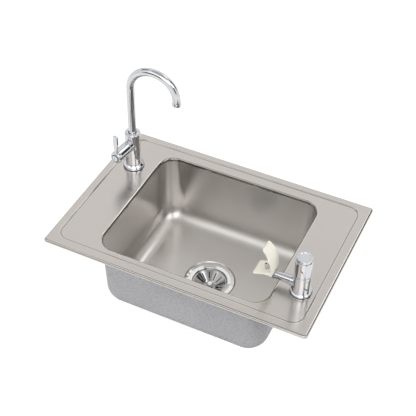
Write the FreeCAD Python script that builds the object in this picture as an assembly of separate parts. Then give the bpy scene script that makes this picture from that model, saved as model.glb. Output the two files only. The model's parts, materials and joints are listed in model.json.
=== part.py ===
import FreeCAD, Part
import math
import os
from FreeCAD import Vector

# Drop-in classroom sink with a gooseneck tap and a drinking bubbler.
# Millimetres and degrees. X runs from the tap side to the bubbler side, Y to the back, Z up.
# The origin is the middle of the rim, on the counter that the turned-down lip rests on.

# Sink sheet, rim and deck
sheet = 1.2
rim_length = 635.0
rim_width = 431.8
rim_corner_r = 8.0
lip_height = 6.0
lip_edge_r = 5.0
step_run = 2.0
step_edge_r = 2.0
deck_drop = 1.8
deck_corner_r = 27.0

# Raised ledge and drawn deck, as shares of the land between the rim's long edge and the bowl
ledge_share = 0.4725
off_centre_share = 0.05625

# Bowl and its sound-deadening coat
bowl_length = 406.4
bowl_width = 342.9
bowl_depth = 190.5
bowl_corner_r = 38.0
bowl_low_corner_r = 50.0
bowl_draft = 0.6
bowl_edge_r = 5.0
bowl_cove_r = 42.0
coat = 1.5
coat_margin = 4.0
coat_hole_margin = 12.0

# Rails for hold-down clips, with their width and inset as shares of the ledge above them
rail_sheet = 1.2
rail_width_share = 0.3333
rail_inset_share = 0.381
rail_height = 12.0
rail_hook = 3.5
rail_end_gap = 45.0

# Clearances
thread_gap = 0.15
slip_gap = 0.1
running_gap = 0.08
clear_gap = 0.3

# Drain
drain_hole_r = 44.45
drain_flange_r = 59.0
drain_flange_rise = 2.2
drain_seat_drop = 2.5
drain_seat_margin = 1.5
drain_wall = 1.6
drain_body_gap = 0.6
drain_cup_depth = 38.0
drain_cone_depth = 9.0
drain_outlet_r = 19.4
drain_outlet_wall = 3.6
drain_outlet_length = 22.0
drain_gasket_t = 3.0
drain_gasket_width = 15.0
friction_ring_t = 1.0
drain_nut_t = 10.0
drain_nut_width = 12.0
drain_nut_lugs = 6
drain_nut_lug_length = 6.0
drain_nut_lug_width = 14.0
cross_bar_width = 4.0
cross_bar_t = 2.0
tailpiece_r = 19.05
tailpiece_wall = 1.2
tailpiece_flange_r = 22.4
tailpiece_flange_t = 1.5
tailpiece_length = 50.0
tailpiece_neck = 0.7
tailpiece_neck_length = 5.0
tail_washer_t = 2.0
slip_nut_wall = 4.0
slip_nut_height = 18.0
slip_nut_lip = 4.0
slip_nut_sides = 8

# Strainer basket
basket_sheet = 0.8
basket_gap = 0.8
basket_drop = 2.5
basket_lip = 3.0
basket_depth = 17.0
basket_floor_r = 14.0
basket_slots = 12
basket_turn = 27.0
basket_slot_width = 2.4
basket_slot_inset = 3.5
basket_knob_r = 8.0
basket_knob_height = 7.0
basket_knob_dome_r = 4.9
basket_foot_r = 5.6
basket_waist_r = 4.8
basket_waist_height = 3.6
basket_neck_height = 6.0
basket_stem_r = 3.0
stopper_r = 33.0
stopper_t = 4.0

# Tap: its hole's share of the way from the step to the bowl, with room left at both,
# its distance from the back edge of the rim, and its upright pieces
fitting_room = 1.5
tap_share = 0.3485
tap_inset_y = 115.9
tap_hole_r = 17.5
deck_gasket_t = 1.5
deck_gasket_lap = 1.5
tap_ring_r = 24.5
tap_ring_height = 11.0
tap_ring_edge = 5.0
tap_body_r = 18.5
tap_body_height = 95.3
tap_collar_height = 8.0
tap_collar_r = 18.9
tap_shank_r = 10.3
tap_shank_bore_r = 6.0
tap_shank_grip = 14.0
tap_shank_drop = 52.0
shank_washer_r = 24.0
shank_washer_t = 2.0
shank_nut_flats = 36.0
shank_nut_t = 9.0
shank_relief = 2.0
shank_relief_depth = 0.8
tap_inlet_r = 4.5

# Spout
spout_r = 9.5
spout_wall = 1.6
spout_rise = 231.8
spout_arc_r = 59.0
spout_drop = 2.0
spout_socket_r = 12.0
spout_socket_depth = 13.0
spout_ferrule_height = 7.4
seal_wire_r = 1.1
seal_groove = 0.9
seal_shares = (0.25, 0.75)
aerator_height = 8.0
aerator_flare = 1.1
aerator_wall = 1.2
aerator_insert_height = 6.0
aerator_holes = 12
aerator_hole_r = 0.8
aerator_ring_r = 5.1

# Side valve, handle and lever: stations are measured outwards from the tap's upright axis
valve_height = 69.1
valve_turn = 7.5
valve_boss_r = 14.6
valve_boss_end = 20.5
valve_bore_r = 9.0
valve_bore_start = 3.6
valve_inlet_r = 3.6
valve_port_r = 2.2
valve_port_station = 9.2
cartridge_wall = 1.8
cartridge_seal_t = 1.2
disc_t = 2.4
disc_port_height = 3.8
stem_r = 3.9
stem_flange_r = 6.4
stem_flange_t = 2.0
stem_end = 42.0
bonnet_length = 5.0
bonnet_r = 14.2
handle_gap = 0.6
handle_r = 15.2
handle_tip_r = 14.6
handle_end = 70.0
handle_taper = 10.0
handle_end_r = 4.0
handle_screw_r = 2.0
handle_screw_grip = 9.0
handle_screw_head_r = 3.8
handle_screw_head_t = 3.0
handle_screw_socket_r = 1.6
handle_cap_r = 9.8
handle_cap_t = 4.0
handle_cap_rise = 1.2
handle_cap_dimple_r = 2.0
lever_inset = 2.5
lever_seat = 1.2
lever_height = 64.0
lever_neck = 8.0
lever_waist = 7.2
lever_blade = 13.2
lever_tip = 12.4
lever_tip_r = 5.0
lever_blade_length = 37.0
lever_t = 5.0
lever_edge_r = 1.6

# Bubbler: its hole's share of the way from the step to the bowl,
# its distance from the front edge of the rim, and its upright pieces
bubbler_share = 0.2448
bubbler_inset_y = 115.9
bubbler_hole_r = 16.0
bubbler_ring_r = 23.3
bubbler_ring_height = 8.0
bubbler_ring_edge = 4.5
bubbler_body_r = 18.8
bubbler_body_height = 52.3
bubbler_groove_height = 2.5
bubbler_groove_depth = 1.8
bubbler_spigot_height = 11.5
sleeve_wall = 1.8
sleeve_height = 41.5
sleeve_edge = 1.0
bubbler_shank_r = 8.5
bubbler_shank_bore_r = 4.0
bubbler_shank_grip = 12.0
bubbler_shank_drop = 48.0
bubbler_nut_flats = 30.0

# Push valve
button_rise = 8.0
button_travel = 6.0
button_plate = 4.0
button_skirt = 14.0
button_wall = 2.0
button_dish_r = 12.0
button_dish_depth = 0.8
plunger_r = 3.5
plunger_tip_r = 2.2
plunger_tip_length = 6.2
plunger_grip = 2.5
gland_r = 9.0
gland_height = 14.0
valve_chamber_r = 8.0
seat_t = 3.0
seat_bore_r = 5.0
plunger_washer_r = 6.8
plunger_washer_t = 3.5
plunger_nut_r = 4.5
plunger_nut_t = 2.5
spring_r = 12.0
spring_wire = 1.5
spring_turns = 6

# Bubbler arm, head, nozzle and mouth guard
arm_height = 22.8
arm_boss_r = 12.0
arm_boss_end = 21.5
arm_spigot_r = 6.9
arm_bore_r = 3.5
arm_socket = 12.0
arm_nut_r = 11.8
arm_nut_t = 5.0
arm_root_r = 10.0
arm_tip_r = 8.6
arm_end = 54.0
head_r = 9.2
head_length = 13.0
head_width = 19.0
head_reach = 88.0
head_edge_r = 2.5
head_shoulder = 7.8
head_keel = 5.0
head_tip_t = 2.0
nozzle_r = 5.0
nozzle_bore_r = 2.4
nozzle_station = 80.0
nozzle_rise = 10.5
nozzle_sink = 6.0
guard_t = 3.0
guard_width = 40.0
guard_corner_r = 4.0
guard_tip_r = 2.0
guard_back = 61.5
guard_root = 9.0
guard_flap_length = 44.0
guard_flap_slope = 21.0
guard_hood_height = 60.0
guard_hood_lean = 24.0
guard_hood_bow = 7.5

# Places that follow from the sizes above
rim_top = lip_height
deck_top = rim_top - deck_drop
deck_under = deck_top - sheet
bowl_floor = rim_top - bowl_depth
seat_top = bowl_floor - drain_seat_drop
seat_under = seat_top - sheet
drain_seat_r = drain_flange_r + drain_seat_margin
drain_body_r = drain_hole_r - drain_body_gap
side_land = (rim_width - bowl_width) / 2
end_land = (rim_length - bowl_length) / 2
ledge_width = side_land * ledge_share
deck_shift = side_land * off_centre_share
bowl_shift = -deck_shift
rail_width = ledge_width * rail_width_share
rail_inset = ledge_width * rail_inset_share


def fitting_inset(step_foot, ring_r, share):
    """How far in from the rim's end a fitting stands, between the step and the bowl's rounded edge."""
    nearest = step_foot + ring_r + fitting_room
    farthest = end_land - bowl_edge_r - shank_washer_r - fitting_room
    return nearest + (farthest - nearest) * share


step_foot = ledge_width + step_run
tap_x = fitting_inset(step_foot - deck_shift, tap_ring_r, tap_share) - rim_length / 2
tap_y = rim_width / 2 - tap_inset_y
bubbler_x = rim_length / 2 - fitting_inset(step_foot + deck_shift, bubbler_ring_r, bubbler_share)
bubbler_y = bubbler_inset_y - rim_width / 2
fitting_foot = deck_top + deck_gasket_t
up = Vector(0, 0, 1)
bubbler_axis = Vector(bubbler_x, bubbler_y, 0)
tap_axis = Vector(tap_x, tap_y, 0)
drain_axis = Vector(0, bowl_shift, 0)
parts = {}


def outline(points, put):
    """A closed wire through (u, v) corners; a third number rounds that corner."""
    corners = []
    for i, point in enumerate(points):
        here = Vector(point[0], point[1], 0)
        radius = point[2] if len(point) > 2 else 0.0
        if radius <= 0:
            corners.append((here, None, here))
            continue
        before = Vector(points[i - 1][0], points[i - 1][1], 0)
        after = Vector(points[(i + 1) % len(points)][0], points[(i + 1) % len(points)][1], 0)
        back = (before - here).normalize()
        ahead = (after - here).normalize()
        half = back.getAngle(ahead) / 2
        run = radius / math.tan(half)
        bisector = (back + ahead).normalize()
        middle = here + bisector * (radius / math.sin(half) - radius)
        corners.append((here + back * run, middle, here + ahead * run))
    edges = []
    for i, (start, middle, end) in enumerate(corners):
        if middle is not None:
            edges.append(Part.Arc(put(start), put(middle), put(end)).toShape())
        following = corners[(i + 1) % len(corners)][0]
        if end.distanceToPoint(following) > 1e-6:
            edges.append(Part.LineSegment(put(end), put(following)).toShape())
    return Part.Wire(edges)


def turned(points, base, axis=up):
    """A solid of revolution from (radius, station) corners, stations running along axis from base."""
    wire = outline(points, lambda p: Vector(p.x, 0, p.y))
    solid = Part.Face(wire).revolve(Vector(0, 0, 0), up, 360)
    return placed(solid, base, axis)


def placed(shape, base, axis=up):
    moved = shape.copy()
    moved.Placement = FreeCAD.Placement(base, FreeCAD.Rotation(up, axis))
    return moved


def tube(outer, inner, start, end, base, axis=up, edge=0.0):
    """A ring between two stations, with its outer corners rounded by edge."""
    return turned([(inner, start), (outer, start, edge), (outer, end, edge), (inner, end)], base, axis)


def rod(radius, start, end, base, axis=up):
    direction = Vector(axis).normalize()
    return Part.makeCylinder(radius, end - start, base + direction * start, direction)


def rounded_rectangle(half_x, half_y, radius, z, centre_y=0.0, centre_x=0.0):
    corners = [
        (centre_x - half_x, centre_y - half_y, radius),
        (centre_x + half_x, centre_y - half_y, radius),
        (centre_x + half_x, centre_y + half_y, radius),
        (centre_x - half_x, centre_y + half_y, radius),
    ]
    return outline(corners, lambda p: Vector(p.x, p.y, z))


def slab(half_x, half_y, radius, z0, z1):
    wire = rounded_rectangle(half_x, half_y, radius, z0)
    return Part.Face(wire).extrude(up * (z1 - z0))


def tapered_slab(low, high):
    """A solid between two rounded rectangles, each (half_x, half_y, radius, z, centre_y, centre_x)."""
    return Part.makeLoft([rounded_rectangle(*low), rounded_rectangle(*high)], True, True)


def polygon_prism(flats, sides, start, end, base):
    corner = flats / 2 / math.cos(math.pi / sides)
    turn = 2 * math.pi / sides
    points = [(corner * math.cos(i * turn), corner * math.sin(i * turn)) for i in range(sides)]
    wire = outline(points, lambda p: Vector(p.x, p.y, 0) + base + up * start)
    return Part.Face(wire).extrude(up * (end - start))


def edges_where(shape, test):
    return [edge for edge in shape.Edges if test(edge.BoundBox)]


def level(box, z):
    return abs(box.ZMin - z) < 1e-3 and abs(box.ZMax - z) < 1e-3


def one_solid(shape):
    return shape.removeSplitter().Solids[0]


# Sink


def bowl_form(grow, top):
    """The bowl's inside form, grown outwards all round, from its coved floor up to the given height."""
    floor = bowl_floor - grow
    slope = math.tan(math.radians(bowl_draft))

    def section(z):
        inward = (deck_top - z) * slope - grow
        share = (deck_top - z) / (deck_top - bowl_floor)
        corner = bowl_corner_r + (bowl_low_corner_r - bowl_corner_r) * share + grow
        return (bowl_length / 2 - inward, bowl_width / 2 - inward, corner, z, bowl_shift)

    form = tapered_slab(section(floor), section(top))
    return form.makeFillet(bowl_cove_r + grow, edges_where(form, lambda box: level(box, floor)))


def deck_pan(spread, low, high):
    """The sunken deck's form between two heights, its sloping sides set out by spread."""
    half_x = rim_length / 2 - step_foot + spread
    half_y = rim_width / 2 - step_foot + spread
    slope = step_run / deck_drop

    def section(z):
        out = (z - deck_top) * slope
        return (half_x + out, half_y + out, deck_corner_r + out, z, deck_shift, -deck_shift)

    return tapered_slab(section(low), section(high))


def rim_and_deck():
    half_x = rim_length / 2
    half_y = rim_width / 2
    plate = slab(half_x, half_y, rim_corner_r, 0, rim_top)
    plate = plate.makeFillet(lip_edge_r, edges_where(plate, lambda box: level(box, rim_top)))
    plate = plate.cut(deck_pan(0, deck_top, rim_top + deck_drop))
    under = rim_top - sheet
    hollow = slab(half_x - sheet, half_y - sheet, rim_corner_r - sheet, 0, under)
    hollow = hollow.makeFillet(lip_edge_r - sheet, edges_where(hollow, lambda box: level(box, under)))
    plate = plate.cut(hollow.cut(deck_pan(sheet, deck_under, rim_top + deck_drop)))
    for z, radius in ((rim_top, step_edge_r + sheet), (deck_top, step_edge_r)):
        plate = plate.makeFillet(radius, edges_where(plate, lambda box: round_step(box, z)))
    for z, radius in ((under, step_edge_r), (deck_under, step_edge_r + sheet)):
        plate = plate.makeFillet(radius, edges_where(plate, lambda box: round_step(box, z)))
    return plate


def round_step(box, z):
    """An edge of the deck's sloping step at the given height."""
    outside = rim_length / 2 - lip_edge_r
    return level(box, z) and max(abs(box.XMin), abs(box.XMax)) < outside - step_run


def near_bowl(box, z):
    return level(box, z) and max(abs(box.XMin), abs(box.XMax)) < bowl_length / 2 + 2 * bowl_edge_r


def sink_shell():
    shell = rim_and_deck().fuse(bowl_form(sheet, deck_top - sheet / 2))
    shell = shell.cut(bowl_form(0, rim_top)).removeSplitter()
    inside_r = bowl_edge_r - sheet
    shell = shell.makeFillet(inside_r, edges_where(shell, lambda box: near_bowl(box, deck_under)))
    shell = shell.makeFillet(bowl_edge_r, edges_where(shell, lambda box: near_bowl(box, deck_top)))
    seat = [
        (0, bowl_floor - sheet / 2),
        (drain_seat_r + drain_seat_drop + sheet, bowl_floor - sheet / 2),
        (drain_seat_r + sheet / 2, seat_under),
        (0, seat_under),
    ]
    sunk = [
        (0, bowl_floor + sheet),
        (drain_seat_r + drain_seat_drop + sheet, bowl_floor + sheet),
        (drain_seat_r, seat_top),
        (0, seat_top),
    ]
    shell = shell.fuse(turned(seat, drain_axis)).cut(turned(sunk, drain_axis))
    shell = shell.cut(rod(drain_hole_r, seat_under - sheet, bowl_floor, drain_axis))
    shell = shell.cut(rod(tap_hole_r, 0, rim_top, tap_axis))
    return one_solid(shell.cut(rod(bubbler_hole_r, 0, rim_top, bubbler_axis)))


def sound_coat():
    top = deck_under - bowl_edge_r - coat_margin
    skin = bowl_form(sheet + coat, top).cut(bowl_form(sheet, top + coat))
    hole = drain_seat_r + drain_seat_drop + coat_hole_margin
    return one_solid(skin.cut(rod(hole, bowl_floor - bowl_cove_r, bowl_floor, drain_axis)))


def clip_rail(side, length, half):
    """A J-section rail under the ledge along one side; side turns the front rail round to its place."""
    top = rim_top - sheet
    near = -half + sheet + rail_inset
    section = [
        (near, top),
        (near + rail_width, top),
        (near + rail_width, top - rail_sheet),
        (near + rail_sheet, top - rail_sheet),
        (near + rail_sheet, top - rail_height + rail_sheet),
        (near + rail_width - rail_sheet, top - rail_height + rail_sheet),
        (near + rail_width - rail_sheet, top - rail_height + rail_hook),
        (near + rail_width, top - rail_height + rail_hook),
        (near + rail_width, top - rail_height),
        (near, top - rail_height),
    ]
    run = length - 2 * rail_end_gap
    wire = outline(section, lambda p: Vector(-run / 2, p.x, p.y))
    rail = Part.Face(wire).extrude(Vector(run, 0, 0))
    rail.rotate(Vector(0, 0, 0), up, side)
    return rail


def build_sink():
    parts["sink_shell"] = sink_shell()
    parts["bowl_sound_coat"] = sound_coat()
    parts["clip_rail_front"] = clip_rail(0, rim_length, rim_width / 2)
    parts["clip_rail_right"] = clip_rail(90, rim_width, rim_length / 2)
    parts["clip_rail_back"] = clip_rail(180, rim_length, rim_width / 2)
    parts["clip_rail_left"] = clip_rail(270, rim_width, rim_length / 2)


# Drain


cup_r = drain_body_r - drain_wall
cup_bottom = seat_top - drain_cup_depth
cone_bottom = cup_bottom - drain_cone_depth
outlet_outer_r = drain_outlet_r + drain_outlet_wall
outlet_end = cone_bottom - drain_outlet_length
basket_r = cup_r - basket_gap
basket_top = seat_top - basket_drop
basket_bottom = basket_top - basket_depth


def drain_body():
    crest = (cup_r + drain_flange_r) / 2
    profile = [
        (drain_flange_r, seat_top),
        (drain_flange_r, seat_top + drain_wall / 2),
        (crest, seat_top + drain_flange_rise, drain_wall),
        (cup_r, seat_top + drain_wall / 2, drain_wall),
        (cup_r, cup_bottom, drain_wall),
        (drain_outlet_r, cone_bottom),
        (drain_outlet_r, outlet_end),
        (outlet_outer_r, outlet_end),
        (outlet_outer_r, cone_bottom - drain_wall),
        (drain_body_r, cup_bottom - drain_wall),
        (drain_body_r, seat_top),
    ]
    return turned(profile, drain_axis)


def drain_lock_nut(top):
    inner = drain_body_r + thread_gap
    outer = inner + drain_nut_width
    nut = tube(outer, inner, top - drain_nut_t, top, drain_axis)
    for i in range(drain_nut_lugs):
        lug = Part.makeBox(
            drain_nut_lug_length + drain_nut_width / 2,
            drain_nut_lug_width,
            drain_nut_t,
            Vector(outer - drain_nut_width / 2, -drain_nut_lug_width / 2, top - drain_nut_t),
        )
        lug.rotate(Vector(0, 0, 0), up, i * 360 / drain_nut_lugs)
        lug.translate(drain_axis)
        nut = nut.fuse(lug)
    return one_solid(nut)


def cross_bar():
    """Two crossed bars in the outlet, with a hole for the stem."""
    long = 2 * drain_outlet_r
    start = Vector(-long / 2, -cross_bar_width / 2, cone_bottom - cross_bar_t)
    bar = Part.makeBox(long, cross_bar_width, cross_bar_t, start)
    other = bar.copy()
    other.rotate(Vector(0, 0, 0), up, 90)
    hub = rod(basket_stem_r + clear_gap + cross_bar_width, -cross_bar_t, 0, Vector(0, 0, cone_bottom))
    cross = bar.fuse(other).fuse(hub)
    bore = rod(drain_outlet_r - slip_gap, -cross_bar_t, 0, Vector(0, 0, cone_bottom))
    hole = rod(basket_stem_r + clear_gap, -cross_bar_t, 0, Vector(0, 0, cone_bottom))
    cross = one_solid(cross.common(bore).cut(hole))
    cross.translate(drain_axis)
    return cross


def build_drain():
    parts["drain_body"] = drain_body()
    gasket_inner = drain_body_r + slip_gap
    gasket_outer = gasket_inner + drain_gasket_width
    ring_top = seat_under - drain_gasket_t
    ring_end = ring_top - friction_ring_t
    parts["drain_gasket"] = tube(gasket_outer, gasket_inner, ring_top, seat_under, drain_axis)
    parts["drain_friction_ring"] = tube(gasket_outer, gasket_inner, ring_end, ring_top, drain_axis)
    parts["drain_lock_nut"] = drain_lock_nut(ring_end)
    parts["drain_cross_bar"] = cross_bar()

    washer_end = outlet_end - tail_washer_t
    flange_end = washer_end - tailpiece_flange_t
    tail_inner = tailpiece_r - tailpiece_wall
    neck_r = tailpiece_r + tailpiece_neck
    parts["tailpiece_washer"] = tube(tailpiece_flange_r, tail_inner, washer_end, outlet_end, drain_axis)
    tail = [
        (tail_inner, washer_end),
        (tailpiece_flange_r, washer_end),
        (tailpiece_flange_r, flange_end),
        (neck_r, flange_end),
        (neck_r, flange_end - tailpiece_neck_length),
        (tailpiece_r, flange_end - tailpiece_neck_length),
        (tailpiece_r, washer_end - tailpiece_length),
        (tail_inner, washer_end - tailpiece_length),
    ]
    parts["tailpiece"] = turned(tail, drain_axis)
    nut_r = outlet_outer_r + thread_gap
    nut_end = flange_end - slip_nut_lip
    nut_top = nut_end + slip_nut_height
    nut = polygon_prism(2 * (nut_r + slip_nut_wall), slip_nut_sides, nut_end, nut_top, drain_axis)
    nut = nut.cut(rod(nut_r, flange_end, nut_top, drain_axis))
    parts["tailpiece_nut"] = nut.cut(rod(neck_r + slip_gap, nut_end, flange_end, drain_axis))


def strainer_basket():
    profile = [
        (basket_stem_r + slip_gap, basket_bottom),
        (basket_floor_r, basket_bottom, basket_sheet),
        (basket_r - basket_lip, basket_top - basket_sheet, basket_sheet),
        (basket_r, basket_top - basket_sheet),
        (basket_r, basket_top),
        (basket_r - basket_lip, basket_top, basket_sheet),
        (basket_floor_r, basket_bottom + basket_sheet, basket_sheet),
        (basket_stem_r + slip_gap, basket_bottom + basket_sheet),
    ]
    basket = turned(profile, drain_axis)
    start = basket_floor_r + basket_slot_inset
    run = basket_r - basket_lip - basket_slot_inset - start
    for i in range(basket_slots):
        corner = Vector(start, -basket_slot_width / 2, basket_bottom - basket_sheet)
        slot = Part.makeBox(run, basket_slot_width, basket_depth, corner)
        slot.rotate(Vector(0, 0, 0), up, basket_turn + i * 360 / basket_slots)
        slot.translate(drain_axis)
        basket = basket.cut(slot)
    return one_solid(basket)


def build_basket():
    cone_share = (stopper_r - drain_outlet_r) / (cup_r - drain_outlet_r)
    stopper_bottom = cone_bottom + drain_cone_depth * cone_share + clear_gap
    stopper_top = stopper_bottom + stopper_t
    parts["strainer_basket"] = strainer_basket()
    parts["basket_stopper"] = tube(
        stopper_r, basket_stem_r + slip_gap, stopper_bottom, stopper_top, drain_axis, stopper_t / 4
    )
    knob_base = basket_bottom + basket_sheet
    knob_top = knob_base + basket_neck_height + basket_knob_height
    stem_top = knob_base + basket_neck_height
    stem = [
        (0, cone_bottom - 2 * cross_bar_t),
        (basket_stem_r, cone_bottom - 2 * cross_bar_t, basket_stem_r / 2),
        (basket_stem_r, stopper_top),
        (2 * basket_stem_r, stopper_top),
        (2 * basket_stem_r, basket_bottom),
        (basket_stem_r, basket_bottom),
        (basket_stem_r, stem_top),
        (0, stem_top),
    ]
    parts["basket_stem"] = turned(stem, drain_axis)
    knob = [
        (basket_stem_r + slip_gap, knob_base),
        (basket_foot_r, knob_base, basket_stem_r / 2),
        (basket_waist_r, knob_base + basket_waist_height),
        (basket_knob_r, knob_base + basket_neck_height),
        (basket_knob_r, knob_top, basket_knob_dome_r),
        (0, knob_top),
        (0, stem_top),
        (basket_stem_r + slip_gap, stem_top),
    ]
    parts["basket_knob"] = turned(knob, drain_axis)


# Pieces that hold a fitting on the deck


def deck_seat(name, axis, ring_r, ring_height, edge, body_r, hole_r, shank_r, flats):
    """Gasket and base ring on the deck, washer and lock nut under it."""
    parts[name + "_gasket"] = tube(
        ring_r - deck_gasket_lap, shank_r + slip_gap, deck_top, fitting_foot, axis
    )
    ring = [
        (body_r + slip_gap, fitting_foot),
        (ring_r, fitting_foot),
        (ring_r, fitting_foot + ring_height - edge, edge / 3),
        (ring_r - edge, fitting_foot + ring_height, edge / 3),
        (body_r + slip_gap, fitting_foot + ring_height),
    ]
    parts[name + "_base_ring"] = turned(ring, axis)
    washer_end = deck_under - shank_washer_t
    washer_r = max(shank_washer_r, hole_r + deck_gasket_lap)
    parts[name + "_washer"] = tube(washer_r, shank_r + slip_gap, washer_end, deck_under, axis)
    nut = polygon_prism(flats, 6, washer_end - shank_nut_t, washer_end, axis)
    parts[name + "_lock_nut"] = nut.cut(rod(shank_r + thread_gap, washer_end - shank_nut_t, washer_end, axis))


def shank(axis, radius, bore_r, drop, grip):
    """A threaded tail from inside a fitting's body to below the deck, relieved just under its nut."""
    end = deck_top - drop
    top = fitting_foot + grip
    relief_top = deck_under - shank_washer_t - shank_nut_t - shank_relief / 2
    relief_end = relief_top - shank_relief
    profile = [
        (bore_r, end),
        (radius, end),
        (radius, relief_end),
        (radius - shank_relief_depth, relief_end),
        (radius - shank_relief_depth, relief_top),
        (radius, relief_top),
        (radius, top),
        (bore_r, top),
    ]
    return turned(profile, axis)


# Tap


tap_top = fitting_foot + tap_body_height
socket_floor = tap_top - spout_socket_depth
valve_z = fitting_foot + valve_height
valve_direction = Vector(-math.sin(math.radians(valve_turn)), -math.cos(math.radians(valve_turn)), 0)
valve_base = tap_axis + up * valve_z
bonnet_end = valve_boss_end + bonnet_length
handle_start = bonnet_end + handle_gap
cartridge_start = valve_bore_start + cartridge_seal_t
disc_start = cartridge_start + cartridge_wall
stem_start = disc_start + 2 * disc_t + running_gap
spout_inner_r = spout_r - spout_wall
ferrule_bottom = socket_floor + clear_gap
ferrule_top = ferrule_bottom + spout_ferrule_height
ferrule_r = spout_socket_r - seal_groove
spout_top = fitting_foot + spout_rise


def tap_body():
    body = rod(tap_body_r, fitting_foot, tap_top, tap_axis)
    body = body.fuse(rod(valve_boss_r, 0, valve_boss_end, valve_base, valve_direction))
    socket_top = fitting_foot + tap_shank_grip
    body = body.cut(rod(tap_shank_r + thread_gap, fitting_foot, socket_top, tap_axis))
    body = body.cut(rod(tap_inlet_r, socket_top, valve_z + tap_inlet_r, tap_axis))
    body = body.cut(rod(valve_inlet_r, 0, valve_bore_start, valve_base, valve_direction))
    body = body.cut(rod(valve_bore_r, valve_bore_start, valve_boss_end, valve_base, valve_direction))
    body = body.cut(rod(spout_socket_r, socket_floor, tap_top, tap_axis))
    port = tap_axis + valve_direction * valve_port_station
    return one_solid(body.cut(rod(valve_port_r, valve_z, tap_top, port)))


def spout_tube():
    """A straight riser, a half turn and a short drop, in the tap's X-Z plane."""
    bend = tap_axis + Vector(spout_arc_r, 0, spout_top)
    riser = tube(spout_r, spout_inner_r, ferrule_bottom, spout_top, tap_axis)
    ring = Part.makeCircle(spout_r, tap_axis + up * spout_top)
    bore = Part.makeCircle(spout_inner_r, tap_axis + up * spout_top)
    section = Part.Face([Part.Wire(ring), Part.Wire(bore)])
    arch = section.revolve(bend, Vector(0, 1, 0), 180)
    outlet = tap_axis + Vector(2 * spout_arc_r, 0, 0)
    drop = tube(spout_r, spout_inner_r, spout_top - spout_drop, spout_top, outlet)
    return one_solid(riser.fuse(arch).fuse(drop))


def spout_ferrule():
    """A collar brazed to the foot of the riser, with grooves for two seals."""
    ferrule = tube(ferrule_r, spout_r, ferrule_bottom, ferrule_top, tap_axis)
    for seal in seal_rings():
        ferrule = ferrule.cut(seal)
    return one_solid(ferrule)


def seal_rings():
    ring_r = spout_socket_r - running_gap - seal_wire_r
    heights = [ferrule_bottom + spout_ferrule_height * share for share in seal_shares]
    return [Part.makeTorus(ring_r, seal_wire_r, tap_axis + up * z) for z in heights]


def aerator(outlet):
    top = spout_top - spout_drop
    end = top - aerator_height
    inner = spout_r - aerator_wall
    outer = spout_r + aerator_flare
    shell = [
        (inner, top),
        (spout_r, top),
        (outer, top - 2 * aerator_flare, aerator_flare),
        (outer, end, aerator_wall),
        (inner - aerator_wall, end),
        (inner - aerator_wall, end + aerator_wall),
        (inner, end + aerator_wall),
    ]
    parts["aerator_shell"] = turned(shell, outlet)
    start = end + aerator_wall
    insert = rod(inner - slip_gap, start, start + aerator_insert_height, outlet)
    for i in range(aerator_holes):
        beside = outlet + Vector(aerator_ring_r, 0, 0)
        hole = rod(aerator_hole_r, start, start + aerator_insert_height, beside)
        hole.rotate(outlet, up, i * 360 / aerator_holes)
        insert = insert.cut(hole)
    parts["aerator_insert"] = one_solid(insert)


def build_spout():
    parts["tap_spout"] = spout_tube()
    parts["spout_ferrule"] = spout_ferrule()
    parts["spout_seals"] = Part.Compound(seal_rings())
    aerator(tap_axis + Vector(2 * spout_arc_r, 0, 0))
    bush_bottom = ferrule_top + clear_gap
    bush_r = spout_socket_r - slip_gap
    parts["spout_bush"] = tube(bush_r, spout_r + running_gap, bush_bottom, tap_top, tap_axis)
    collar_top = tap_top + tap_collar_height
    collar = [
        (spout_r + clear_gap, tap_top),
        (tap_collar_r, tap_top),
        (tap_collar_r, collar_top, tap_collar_height / 2),
        (spout_r + clear_gap, collar_top, sheet),
    ]
    parts["spout_collar"] = turned(collar, tap_axis)


def along_valve(points):
    return turned(points, valve_base, valve_direction)


def valve_ring(outer, inner, start, end, edge=0.0):
    return tube(outer, inner, start, end, valve_base, valve_direction, edge)


def build_valve():
    bore = valve_bore_r - slip_gap
    parts["cartridge_seal"] = valve_ring(bore, tap_inlet_r, valve_bore_start, cartridge_start)
    cavity = bore - cartridge_wall
    lid = valve_boss_end - cartridge_wall
    shell = [
        (tap_inlet_r, cartridge_start),
        (bore, cartridge_start),
        (bore, valve_boss_end),
        (stem_r + clear_gap, valve_boss_end),
        (stem_r + clear_gap, lid),
        (cavity, lid),
        (cavity, disc_start),
        (tap_inlet_r, disc_start),
    ]
    parts["valve_cartridge"] = along_valve(shell).cut(
        rod(valve_port_r, 0, valve_bore_r, valve_base + valve_direction * valve_port_station)
    )
    disc_r = cavity - clear_gap
    port = valve_base + up * disc_port_height
    turn_start = disc_start + disc_t + running_gap
    fixed = rod(cavity - slip_gap, disc_start, disc_start + disc_t, valve_base, valve_direction)
    turning = rod(disc_r, turn_start, turn_start + disc_t, valve_base, valve_direction)
    window = rod(valve_port_r, disc_start, turn_start + disc_t, port, valve_direction)
    parts["ceramic_disc_fixed"] = fixed.cut(window)
    parts["ceramic_disc_turning"] = turning.cut(window)
    stem = [
        (0, turn_start + disc_t),
        (stem_flange_r, turn_start + disc_t),
        (stem_flange_r, turn_start + disc_t + stem_flange_t),
        (stem_r, turn_start + disc_t + stem_flange_t),
        (stem_r, stem_end),
        (handle_screw_r + thread_gap, stem_end),
        (handle_screw_r + thread_gap, stem_end - handle_screw_grip - thread_gap),
        (0, stem_end - handle_screw_grip - thread_gap),
    ]
    parts["valve_stem"] = along_valve(stem)
    parts["valve_bonnet"] = valve_ring(
        bonnet_r, stem_r + clear_gap, valve_boss_end, bonnet_end, bonnet_length / 5
    )


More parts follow.
